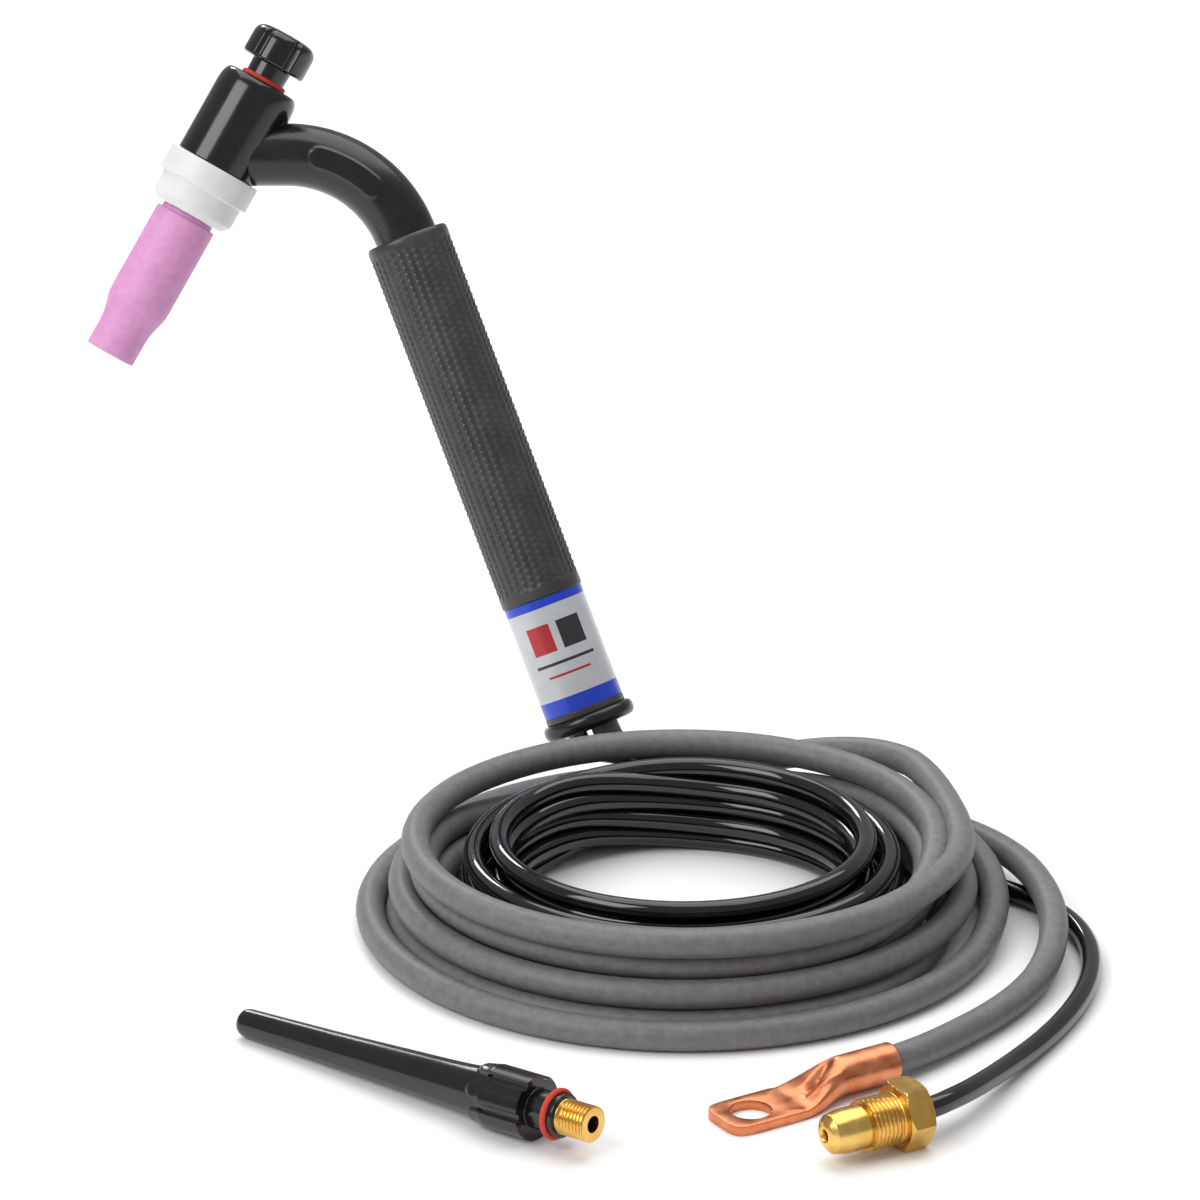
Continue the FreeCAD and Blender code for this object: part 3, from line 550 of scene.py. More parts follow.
@dataclass
class Cord:
    """A lead wound into the loose coil in front of the torch.

    Its length is in metres and its other sizes are in millimetres. The winding's stages give
    the degrees wound so far and the radius and height of the coil there.
    """

    name: str
    radius: float
    length: float
    winding: Sequence[tuple[float, float, float]]
    start_deg: float
    lead: Sequence[Point]
    tail: Sequence[Point]
    finish: Finish
    slot: str
    nodes: Sequence[str]
    stiffness: Stiffness
    wobble: float = 0.35
    per_turn: int = 16

    def coil_points(self) -> list[Vector]:
        """Wind the coil's control points, going clockwise seen from above."""
        step = 360.0 / self.per_turn
        first, last = self.winding[0][0], self.winding[-1][0]
        reach = 1 / math.cos(math.radians(step / 2))
        points = []
        for index in range(int((last - first) // step) + 1):
            sweep = first + index * step
            radius, height = self.at(sweep)
            angle = math.radians(self.start_deg - sweep)
            turn = sweep / 360.0
            # Two slow waves keep the turns from lying as even as on a drum.
            sway = math.sin(2 * angle + 1.7 * turn) + 0.6 * math.sin(3 * angle - 1.1 * turn)
            radius = (radius + self.wobble * sway) * reach
            points.append(Vector((radius * math.cos(angle), radius * math.sin(angle), height)))
        return points

    def at(self, sweep: float) -> tuple[float, float]:
        """Give the coil's radius and height after that many degrees of winding."""
        for (s0, r0, z0), (s1, r1, z1) in zip(self.winding, self.winding[1:]):
            if s0 <= sweep <= s1:
                share = smooth((sweep - s0) / (s1 - s0))
                return r0 + (r1 - r0) * share, z0 + (z1 - z0) * share
        return self.winding[-1][1], self.winding[-1][2]

    def build(self, frames: Frames, exit_point: Vector, ends: Sequence[Vector],
              starts: Sequence[Vector]) -> bpy.types.Object:
        """Lay the cord as one smooth spline.

        Args:
            frames: The places of the parts.
            exit_point: Where it leaves the grommet.
            ends: Its last points, in its fitting.
            starts: Its first points after the exit.

        Returns:
            The cord's curve.
        """
        floor = frames.floor
        route = [exit_point, *starts]
        route += [floor + Vector(p) * MM for p in self.lead]
        route += [floor + p * MM for p in self.coil_points()]
        route += [floor + Vector(p) * MM for p in self.tail]
        route += list(ends)
        data = bpy.data.curves.new(self.name, "CURVE")
        data.dimensions = "3D"
        spline = data.splines.new("NURBS")
        spline.points.add(len(route) - 1)
        for point, spot in zip(spline.points, route):
            point.co = (*spot, 1.0)
        spline.order_u = 3
        spline.use_endpoint_u = True
        spline.use_smooth = True
        data.resolution_u = 5
        data.bevel_depth = self.radius * MM
        data.bevel_resolution = 7
        data.use_fill_caps = True
        data.materials.append(self.finish.material())
        thing = bpy.data.objects.new(self.name, data)
        bpy.context.scene.collection.objects.link(thing)
        settle(thing, "handle", self.slot, *self.nodes)
        return thing


@dataclass
class Leads:
    """The power cable and the gas hose, from the grommet to their fittings."""

    cable_across: float = 4.2
    hose_across: float = -5.2
    cable: Cord = field(default_factory=lambda: Cord(
        "power_cable", 4.6, 3.60,
        [(22.5, 89.2, 29.4), (45, 86.0, 28.8), (110, 84.8, 29.2), (200, 83.8, 28.0),
         (258, 80.5, 28.2), (292, 78.7, 28.6), (340, 79.6, 28.6), (375, 79.8, 28.6),
         (430, 81.0, 20.2), (570, 81.4, 20.0), (617, 79.6, 12.8), (654, 79.6, 12.8),
         (690, 78.0, 20.6), (735, 77.4, 20.7), (795, 78.8, 11.3), (930, 78.8, 11.3),
         (978, 75.3, 4.7), (1014, 75.3, 4.7), (1048, 78.5, 11.7), (1075, 78.6, 11.8),
         (1110, 82.0, 8.6), (1138, 89.2, 4.7), (1290, 89.3, 4.7), (1335, 84.6, 4.7),
         (1378, 84.8, 4.7), (1418, 88.0, 12.3), (1440, 88.6, 12.9), (1480, 88.3, 13.7),
         (1640, 88.2, 13.7), (1700, 90.4, 11.6), (1745, 90.6, 11.6), (1795, 97.8, 12.2),
         (1810, 98.4, 11.6), (1842, 98.6, 4.7), (2092, 98.8, 4.7)],
        17.8,
        [(-19.6, 100.3, 17.2), (-11.5, 99.6, 14.3), (2.0, 99.4, 14.0), (18.0, 97.3, 14.8),
         (35.0, 93.0, 18.5), (51.5, 85.5, 23.5), (67.0, 73.0, 27.5), (79.5, 55.0, 29.4)],
        [(57.0, 83.5, 5.2), (75.0, 71.5, 6.2), (91.0, 55.0, 7.8), (101.5, 37.0, 10.0),
         (109.0, 19.0, 11.5), (114.0, 0.5, 11.6), (116.5, -18.5, 10.2), (115.0, -38.5, 7.6),
         (109.0, -58.0, 5.4), (98.5, -77.0, 4.8), (84.0, -96.0, 5.1)],
        JACKET, "grey_cable", ["power_cable_lead", "power_cable_coil", "power_cable_tail"],
        Stiffness.STIFF))
    hose: Cord = field(default_factory=lambda: Cord(
        "gas_hose", 3.3, 3.90,
        [(0, 68.2, 17.4), (30, 66.6, 16.5), (305, 66.6, 16.5), (352, 65.6, 23.0),
         (660, 65.8, 23.0), (716, 58.2, 28.6), (1030, 58.0, 27.8), (1080, 56.0, 22.0),
         (1390, 56.0, 22.0), (1436, 58.0, 15.8), (1750, 58.0, 15.8), (1796, 56.0, 9.6),
         (2110, 56.0, 9.6), (2156, 58.0, 3.4), (2462, 58.0, 3.4), (2516, 65.8, 10.0),
         (2899, 65.8, 10.0), (2943, 65.2, 3.4), (3220, 65.2, 3.4), (3262, 71.4, 3.4),
         (3266, 71.6, 3.4)],
        83.0,
        [(-30.8, 99.5, 18.2), (-27.5, 96.6, 18.3), (-23.0, 92.3, 19.4), (-17.0, 87.4, 20.6),
         (-9.0, 81.5, 20.9), (-0.5, 75.5, 19.2)],
        [(48.0, 53.0, 3.4), (62.0, 42.5, 3.4), (79.5, 33.0, 3.4), (96.5, 22.0, 3.4),
         (111.5, 9.5, 3.4), (122.0, -6.0, 3.4), (127.0, -24.0, 3.4), (127.0, -43.0, 3.4),
         (123.5, -62.0, 3.4), (117.0, -80.5, 3.4), (108.5, -98.0, 3.5), (99.5, -114.0, 4.2),
         (91.5, -129.0, 5.9), (84.0, -143.0, 7.9), (77.5, -152.5, 9.2)],
        VINYL, "black_hose", ["gas_hose_lead", "gas_hose_coil", "gas_hose_tail"],
        Stiffness.MEDIUM, 0.15))

    def build(self, frames: Frames) -> tuple[bpy.types.Object, bpy.types.Object]:
        """Lay both leads, from straight below the grommet to straight into their fittings."""
        cable = self.cable.build(
            frames, self.out(frames, self.cable_across, 0.0),
            [frames.lug @ Vector((0, 0, -6 * MM)), frames.lug @ Vector((0, 0, 8.75 * MM))],
            [self.out(frames, self.cable_across, 4.5)])
        hose = self.hose.build(
            frames, self.out(frames, self.hose_across, 0.0),
            [frames.fitting @ Vector((0, 0, -5 * MM)), frames.fitting @ Vector((0, 0, 0.5 * MM))],
            [self.out(frames, self.hose_across, 3.2)])
        return cable, hose

    @staticmethod
    def out(frames: Frames, across: float, below: float) -> Vector:
        """Give the point that far across the torch's axis and below the grommet's foot."""
        return frames.torch @ (Vector((across, 0, GROMMET_END - below)) * MM)


# --- handle --------------------------------------------------------------------------------

@dataclass
class Handle:
    """The moulded grip, its wrapped label and the rubber grommet at its foot."""

    radius: float = 13.85
    bore: float = 11.2
    grip_end: float = -127.0
    label_end: float = -165.8
    tube_end: float = -168.0
    seat: float = 13.2
    film: float = 0.25
    lap_height: float = 0.12
    lap_edges: tuple[float, float] = (1.75, 2.2)
    grommet_radius: float = 15.5
    grommet_bore: float = 9.0
    grommet_plug: float = 11.1
    grommet_length: float = 18.0
    dimple_pitch: float = 2.3
    dimple_rows: int = 30
    dimple_depth: float = 0.5
    plain_margin: float = 3.0

    def build(self, frames: Frames) -> None:
        """Build and dress the handle's pieces."""
        self.grip(frames)
        self.label(frames)
        self.grommet(frames)

    def grip(self, frames: Frames) -> None:
        """Mould the grip tube, covered in long rows of shallow lozenges."""
        outer = rounded([(self.bore, 0), (self.radius, 0), (self.radius, self.grip_end),
                         (self.seat, self.grip_end)], [0, 2.2, 0.7, 0])
        foot = rounded([(self.seat, self.grip_end), (self.seat, self.label_end),
                        (self.radius - 0.3, self.label_end), (self.radius - 0.3, self.tube_end),
                        (self.bore, self.tube_end), (self.bore, 0)], [0, 0, 0.6, 0.5, 0, 0])
        outline = finer(outer, self.dimple_pitch / 5) + foot[1:]
        mesh = spun(outline, self.dimple_rows * 8)
        push(mesh, self.dimple)
        thing = piece("handle_grip_moulding", mesh, frames.torch, GRIP, 50)
        settle(thing, "handle", "grip_plastic", "handle_grip")

    def dimple(self, radius: float, angle: float, height: float) -> float:
        """Press one lozenge of the grip's pattern, staggered row by row."""
        low, high = self.grip_end + self.plain_margin, -self.plain_margin
        if radius < self.radius - 0.05 or not low < height < high:
            return 0.0
        row = angle / FULL_TURN * self.dimple_rows
        along = height / self.dimple_pitch + 0.5 * (round(row) % 2)
        ridge = smooth(0.62 + 0.6 * math.cos(FULL_TURN * row))
        bump = 0.5 + 0.5 * math.cos(FULL_TURN * along)
        fade = smooth((high - height) / 2) * smooth((height - low) / 2)
        return -self.dimple_depth * (1 - ridge * (0.35 + 0.65 * bump)) * fade

    def label(self, frames: Frames) -> None:
        """Wrap the printed film around its seat, with its overlap at the back."""
        outer = self.seat + self.film
        mesh = spun(finer([(self.seat, self.grip_end - 0.1), (outer, self.grip_end - 0.15),
                           (outer, self.label_end + 0.15), (self.seat, self.label_end + 0.1)],
                          4.0), 128)
        push(mesh, self.lap)
        self.unwrap(mesh)
        thing = piece("wrapped_label", mesh, frames.torch, LABEL)
        settle(thing, "handle", "label_film", "label_band")

    def lap(self, radius: float, angle: float, height: float) -> float:
        """Raise the film where its second layer covers its first."""
        first, last = self.lap_edges
        return self.lap_height * smooth((angle - first) * 20) * smooth((last - angle) * 20)

    def unwrap(self, mesh: bmesh.types.BMesh) -> None:
        """Give the film a map: once around across, and its length down."""
        layer = mesh.loops.layers.uv.new("film")
        span = self.label_end - self.grip_end
        for face in mesh.faces:
            middle = face.calc_center_median()
            home = (math.atan2(middle.y, middle.x) / FULL_TURN) % 1.0
            for loop in face.loops:
                spot = loop.vert.co
                turn = (math.atan2(spot.y, spot.x) / FULL_TURN) % 1.0
                turn += round(home - turn)
                loop[layer].uv = (turn, (spot.z / MM - self.grip_end) / span)

    def grommet(self, frames: Frames) -> None:
        """Mould the thick rubber ring that the leads leave through."""
        top = GROMMET_END + self.grommet_length
        outline = rounded([
            (self.grommet_bore, top), (self.grommet_plug, top),
            (self.grommet_plug, self.tube_end), (self.grommet_radius, self.tube_end),
            (self.grommet_radius, GROMMET_END), (self.grommet_bore, GROMMET_END),
            (self.grommet_bore, top)], [0, 0, 0, 2.5, 2.5, 2.2, 0], 9)
        thing = piece("rubber_grommet", spun(outline, 128), frames.torch, RING_RUBBER, 60)
        settle(thing, "handle", "black_rubber", "end_grommet")


# --- neck ----------------------------------------------------------------------------------

@dataclass
class Neck:
    """The flexible rubber neck between the handle and the head.

    It rises from the handle's face, bends on a radius and ends in a straight stretch.
    """

    radius: float = 10.35
    bore: float = 5.2
    bend: float = 41.7
    turn_deg: float = 69.3
    straight: float = 21.7
    entry: float = 8.0
    sleeve_short: float = 5.0
    conduit_short: float = 6.0
    conduit_radius: float = 5.0
    conduit_bore: float = 3.0
    conduit_entry: float = 26.0
    pad_half_length: float = 13.5
    pad_half_width: float = 3.5
    pad_height: float = 0.2
    pad_at: float = 29.5

    @property
    def arc(self) -> float:
        """The bend's length along its centreline."""
        return self.bend * math.radians(self.turn_deg)

    def bent(self, turn: float) -> Vector:
        """Give the bend's centreline point after that many radians."""
        return Vector((-self.bend * (1 - math.cos(turn)), 0, self.bend * math.sin(turn)))

    def end(self, beyond: float) -> Vector:
        """Give the point that lies beyond the bend by that much, in the torch's frame."""
        turn = math.radians(self.turn_deg)
        return self.bent(turn) + Vector((-math.sin(turn), 0, math.cos(turn))) * beyond

    def spot(self, along: float) -> tuple[Vector, float]:
        """Give the centreline's point and tilt after that length from the handle's face."""
        if along <= 0:
            return Vector((0, 0, along)), 0.0
        if along <= self.arc:
            return self.bent(along / self.bend), along / self.bend
        return self.end(along - self.arc), math.radians(self.turn_deg)

    def build(self, frames: Frames) -> None:
        """Sweep the neck's sleeve with its blank pad, and the conduit inside."""
        reach = self.arc + self.straight
        length = reach - self.sleeve_short + self.entry
        sleeve = spun(finer([(self.bore, 0), (self.radius, 0), (self.radius, length),
                             (self.bore, length)], 0.5), 168)
        push(sleeve, self.relief)
        self.sweep(frames, "neck_rubber_sleeve", sleeve, -self.entry, NECK_RUBBER,
                   "black_rubber", "neck_sleeve")
        length = reach - self.conduit_short + self.conduit_entry
        conduit = spun(finer([
            (self.conduit_bore, 0), (self.conduit_radius, 0), (self.conduit_radius, length),
            (self.conduit_bore, length), (self.conduit_bore, 0)], 1.5), 48)
        self.sweep(frames, "neck_copper_conduit", conduit, -self.conduit_entry, COPPER,
                   "copper_parts", "neck_conduit")

    def sweep(self, frames: Frames, name: str, mesh: bmesh.types.BMesh, start: float,
              finish: Finish, slot: str, node: str) -> None:
        """Bend a straight turned mesh along the neck.

        Args:
            frames: The places of the parts.
            name: The piece's name.
            mesh: The mesh, straight along Z.
            start: Where its foot lies along the neck, in millimetres.
            finish: Its surface.
            slot: Not used.
            node: The part it stands for.
        """
        for vert in mesh.verts:
            middle, tilt = self.spot(vert.co.z / MM + start)
            across = vert.co.x
            vert.co = Vector((middle.x * MM + across * math.cos(tilt), vert.co.y,
                              middle.z * MM + across * math.sin(tilt)))
        thing = piece(name, mesh, frames.torch, finish, 50)
        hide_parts(node)
        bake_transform(thing)
        LOG.info("%s: %d faces", thing.name, len(thing.data.polygons))

    def relief(self, radius: float, angle: float, height: float) -> float:
        """Raise the long rounded pad on the side of the sleeve, which is still straight."""
        if radius < self.radius - 0.05:
            return 0.0
        side = (angle + math.pi / 2) * self.radius
        along = height - self.entry
        run = max(0.0, abs(along - self.pad_at) - (self.pad_half_length - self.pad_half_width))
        gap = math.hypot(run, side) - self.pad_half_width
        flat = (self.radius + self.pad_height) / math.cos(min(abs(side) / self.radius, 0.5))
        return (flat - self.radius) * smooth(0.5 - gap / 1.1)


# --- head ----------------------------------------------------------------------------------

@dataclass
class Head:
    """The torch's head: its shell, gasket, nozzle and button back cap.

    Heights are from where the neck's centreline meets the head's, up towards the cap.
    """

    shell_radius: float = 13.85
    shell_top: float = 27.4
    shell_bottom: float = -4.4
    shell_ceiling: float = 24.3
    core_bore: float = 8.3
    stem_hole: float = 7.2
    gasket_bore: float = 6.7
    gasket_radius: float = 16.0
    gasket_top: float = -4.5
    gasket_ledge: float = -13.2
    gasket_step: float = 14.35
    gasket_taper: float = -20.1
    gasket_lip: float = 12.1
    gasket_bottom: float = -22.4
    nozzle_bore: float = 6.35
    nozzle_rim: float = 9.05
    nozzle_radius: float = 10.55
    nozzle_top: float = -22.5
    nozzle_shoulder: float = -24.1
    nozzle_outlet: float = 8.45
    nozzle_end: float = -75.4
    stem_bore: float = 3.2
    stem_bottom: float = 28.2
    knob_radius: float = 11.05
    knob_bottom: float = 33.6
    knob_top: float = 45.2
    notches: int = 6
    notch_depth: float = 1.4
    notch_root: float = 8.2
    ring_radius: float = 6.95
    ring_section: float = 0.95
    ring_height: float = 28.0

    def build(self, frames: Frames) -> None:
        """Build and dress the head's pieces."""
        self.shell(frames)
        self.gasket(frames)
        self.nozzle(frames)
        self.knob(frames)
        self.ring("back_cap_seal", frames.head, self.ring_height, "cap_seal", "back_cap_oring")

    def shell(self, frames: Frames) -> None:
        """Mould the head's body with its rounded shoulder and the hole for the cap's stem."""
        outline = rounded([
            (self.core_bore, self.shell_bottom), (self.shell_radius, self.shell_bottom),
            (self.shell_radius, self.shell_top), (self.stem_hole + 0.6, self.shell_top),
            (self.stem_hole, self.shell_top - 0.6), (self.stem_hole, self.shell_ceiling),
            (self.core_bore, self.shell_ceiling), (self.core_bore, self.shell_bottom)],
            [0, 0.5, 7.0, 0.5, 0.3, 0, 0, 0], 14)
        thing = piece("head_shell_moulding", spun(outline, 128), frames.head, PHENOLIC, 50)
        settle(thing, "head", "black_plastic", "head_shell")

    def gasket(self, frames: Frames) -> None:
        """Turn the white heat gasket with its step and tapered lip."""
        outline = rounded([
            (self.gasket_bore, self.gasket_top), (self.gasket_radius, self.gasket_top),
            (self.gasket_radius, self.gasket_ledge), (self.gasket_step, self.gasket_ledge),
            (self.gasket_step, self.gasket_taper), (self.gasket_lip, self.gasket_bottom),
            (self.gasket_bore, self.gasket_bottom), (self.gasket_bore, self.gasket_top)],
            [0, 0.7, 0.7, 0.3, 0.8, 0.6, 0, 0], 6)
        thing = piece("heat_gasket", spun(outline, 128), frames.head, FLUOROPOLYMER, 40)
        settle(thing, "head", "white_insulator", "cup_gasket")

    def nozzle(self, frames: Frames) -> None:
        """Press and fire the alumina nozzle with its ogee towards the outlet."""
        outline = rounded([
            (self.nozzle_bore, self.nozzle_top), (self.nozzle_rim, self.nozzle_top),
            (self.nozzle_rim, self.nozzle_shoulder), (self.nozzle_radius, self.nozzle_shoulder),
            (self.nozzle_radius, self.nozzle_end + 18.3), (9.3, self.nozzle_end + 14.4),
            (self.nozzle_outlet, self.nozzle_end + 10.0), (self.nozzle_outlet, self.nozzle_end),
            (self.nozzle_bore, self.nozzle_end), (self.nozzle_bore, self.nozzle_top)],
            [0, 0.3, 0.3, 0.6, 3.6, 2.6, 3.0, 0.7, 0.7, 0], 8)
        thing = piece("alumina_nozzle", spun(outline, 128), frames.head, ALUMINA, 45)
        settle(thing, "nozzle", "pink_alumina", "nozzle")

    def knob(self, frames: Frames) -> None:
        """Mould the button cap with its stem, its dome and its finger notches."""
        outline = rounded([
            (self.stem_bore, self.stem_bottom), (6.7, self.stem_bottom), (6.9, self.knob_bottom),
            (self.knob_radius, self.knob_bottom), (self.knob_radius, self.knob_top - 2.7),
            (9.2, self.knob_top - 0.6), (5.0, self.knob_top), (0.0, self.knob_top)],
            [0, 0.4, 0.3, 1.2, 2.0, 2.5, 3.0, 0], 8)
        mesh = spun(finer(outline, 0.5), 240)
        push(mesh, self.notch)
        thing = piece("button_back_cap", mesh, frames.head, PHENOLIC, 85)
        settle(thing, "back_cap", "black_plastic", "back_cap_knob")

    def notch(self, radius: float, angle: float, height: float) -> float:
        """Sink one rounded notch of the knob's, running out under the dome."""
        if height < self.knob_bottom - 0.4 or radius < self.notch_root:
            return 0.0
        pitch = FULL_TURN / self.notches
        side = (angle + pitch / 2) % pitch - pitch / 2
        depth = self.notch_depth * smooth(1.2 - abs(side) * self.knob_radius / 1.4)
        return -depth * smooth((radius - self.notch_root) / 1.6)

    def ring(self, name: str, place: Matrix, height: float, body: str, node: str) -> None:
        """Mould a silicone O-ring around the place's Z.

        Args:
            name: The ring's name.
            place: The frame it lies in.
            height: Its middle's height there, in millimetres.
            body: The body it rides on.
            node: The part it stands for.
        """
        outline = [(self.ring_radius + self.ring_section * math.cos(k * FULL_TURN / 20),
                    height + self.ring_section * math.sin(k * FULL_TURN / 20))
                   for k in range(21)]
        thing = piece(name, spun(outline, 96), place, SILICONE)
        settle(thing, body, "red_silicone", node)


# --- fittings ------------------------------------------------------------------------------

@dataclass
class CableLug:
    """The copper lug on the power cable: a barrel folded flat into a drilled palm.

    Its frame's Z runs from the barrel's mouth to the palm's end, and its X points down.
    """

    radius: float = 6.1
    bore: float = 5.3
    barrel: float = 17.5
    waist: float = 37.0
    length: float = 61.5
    width: float = 19.0
    plate: float = 3.2
    hole: float = 6.4
    hole_at: float = 50.5

    def build(self, frames: Frames) -> bpy.types.Object:
        """Form the lug and give it."""
        outline = rounded([
            (0.0, self.barrel - 2), (self.bore, self.barrel - 2), (self.bore, 0),
            (self.radius, 0), (self.radius, self.waist + 2), (0.0, self.waist + 2)],
            [0, 0, 0.25, 0.4, 0.4, 0], 4)
        mesh = spun(finer(outline, 0.5), 144)
        for vert in mesh.verts:
            vert.co = self.fold(vert.co / MM) * MM
        self.palm(mesh)
        thing = piece("cable_lug_copper", mesh, frames.lug, COPPER, 35)
        return settle(thing, "handle", "copper_parts", "cable_lug")

    def fold(self, spot: Vector) -> Vector:
        """Press one point of the tube towards the flat palm, with its crimped creases."""
        share = smooth((spot.z - self.barrel) / (self.waist - self.barrel))
        if share == 0 or math.hypot(spot.x, spot.y) < self.bore + 0.05 and spot.z < self.barrel:
            return spot
        radius = math.hypot(spot.x, spot.y)
        angle = math.atan2(spot.y, spot.x)
        corner = 1 - 0.72 * share
        thick = self.radius + (self.plate / 2 - self.radius) * share
        wide = self.radius + (self.width / 2 - self.radius) * share
        drop = (self.radius - self.plate / 2) * share
        grow = radius / self.radius
        x = math.copysign(abs(math.cos(angle)) ** corner, math.cos(angle)) * thick * grow
        y = math.copysign(abs(math.sin(angle)) ** corner, math.sin(angle)) * wide * grow
        middle = smooth(share * (1 - share) * 4)
        valley = math.exp(-((y + 1.6 - 3.2 * share) / 1.5) ** 2)
        ridge = math.exp(-((y - 5.4 + 2.0 * share) / 0.9) ** 2)
        if math.cos(angle) < 0:
            x += middle * (2.3 * valley - 0.5 * ridge)
        return Vector((x + drop, y, spot.z))

    def palm(self, mesh: bmesh.types.BMesh) -> None:
        """Cut the drilled palm and add it to the lug."""
        plate = bmesh.new()
        bmesh.ops.create_circle(plate, radius=self.hole, segments=96)
        ring = bmesh.ops.extrude_edge_only(plate, edges=plate.edges[:])["geom"]
        near, far, side = self.hole_at - self.waist + 0.5, self.length - self.hole_at, \
            self.width / 2
        for vert in ring:
            if isinstance(vert, bmesh.types.BMVert):
                reach, square = (far, 4.5) if vert.co.x > 0 else (near, 30)
                share = (abs(vert.co.x) / reach) ** square + (abs(vert.co.y) / side) ** square
                vert.co *= share ** (-1 / square)
        faces = bmesh.ops.extrude_face_region(plate, geom=plate.faces[:])["geom"]
        raised = [v for v in faces if isinstance(v, bmesh.types.BMVert)]
        bmesh.ops.translate(plate, verts=raised, vec=(0, 0, self.plate))
        bmesh.ops.recalc_face_normals(plate, faces=plate.faces)
        edges = [e for e in plate.edges
                 if e.is_manifold and e.calc_face_angle(0.0) > math.radians(60)
                 and max(v.co.x for v in e.verts) > -near + 1]
        bmesh.ops.bevel(plate, geom=edges, offset=0.3, segments=2, profile=0.5, material=-1,
                        affect="EDGES", clamp_overlap=True)
        turn = Matrix(((0, 0, 1, self.radius - self.plate), (0, -1, 0, 0),
                       (1, 0, 0, self.hole_at), (0, 0, 0, 1)))
        bmesh.ops.transform(plate, matrix=Matrix.Scale(MM, 4) @ turn, verts=plate.verts)
        bmesh.ops.recalc_face_normals(plate, faces=plate.faces)
        carried = bpy.data.meshes.new("lug_palm")
        plate.to_mesh(carried)
        plate.free()
        mesh.from_mesh(carried)
        bpy.data.meshes.remove(carried)


@dataclass
class GasFitting:
    """The brass nut and rounded nipple on the gas hose."""

    flats: float = 19.05
    hex_length: float = 8.4
    thread_radius: float = 7.94
    thread_length: float = 11.4
    thread_pitch: float = 1.411
    bore: float = 5.1
    counterbore: float = 6.4
    seat: float = 5.1
    nose_radius: float = 6.7
    nose_length: float = 13.0
    nose_tip: float = 3.4
    nose_hole: float = 1.4
    nose_foot: float = 4.7

    def build(self, frames: Frames) -> list[bpy.types.Object]:
        """Turn the nut and the nipple and give them."""
        end = self.hex_length + self.thread_length
        corner = self.flats / 2 / math.cos(math.pi / 6)
        nut = spun(finer([
            (self.counterbore, self.seat), (self.counterbore, 0), (corner, 0),
            (corner, self.hex_length), (self.thread_radius, self.hex_length),
            (self.thread_radius, end), (self.bore, end), (self.bore, self.seat),
            (self.counterbore, self.seat)], 0.16), 144)
        push(nut, self.hexagon)
        push(nut, thread(self.thread_radius, self.hex_length + 0.6, end + 0.4,
                         self.thread_pitch, 0.8))
        nut_thing = piece("gas_nut_brass", nut, frames.fitting, BRASS, 28)
        settle(nut_thing, "gas_nut", "brass_parts", "gas_nut")
        tip = end + self.nose_length
        nipple = spun(rounded([
            (self.nose_hole, self.nose_foot), (3.7, self.nose_foot), (5.0, end + 0.05),
            (self.nose_radius, end + 0.05), (self.nose_radius, end + self.nose_length * 0.55),
            (self.nose_radius * 0.88, end + self.nose_length * 0.86), (self.nose_tip, tip),
            (self.nose_hole, tip), (self.nose_hole, self.nose_foot)],
            [0, 0, 0, 0, 0, 0.4, 6.0, 3.6, 0], 12), 128)
        nose = piece("gas_nipple_brass", nipple, frames.fitting, BRASS, 40)
        settle(nose, "handle", "brass_parts", "gas_nipple")
        return [nut_thing, nose]

    def hexagon(self, radius: float, angle: float, height: float) -> float:
        """Mill the nut's six flats and turn its corner chamfers."""
        if height > self.hex_length + 0.02 or radius < self.thread_radius + 0.1:
            return 0.0
        sector = (angle + math.pi / 6) % (math.pi / 3) - math.pi / 6
        flat = self.flats / 2 / math.cos(sector)
        edge = min(height, self.hex_length - height)
        limit = self.flats / 2 + max(edge, 0.0) * math.sqrt(3)
        return min(radius, flat, limit) - radius


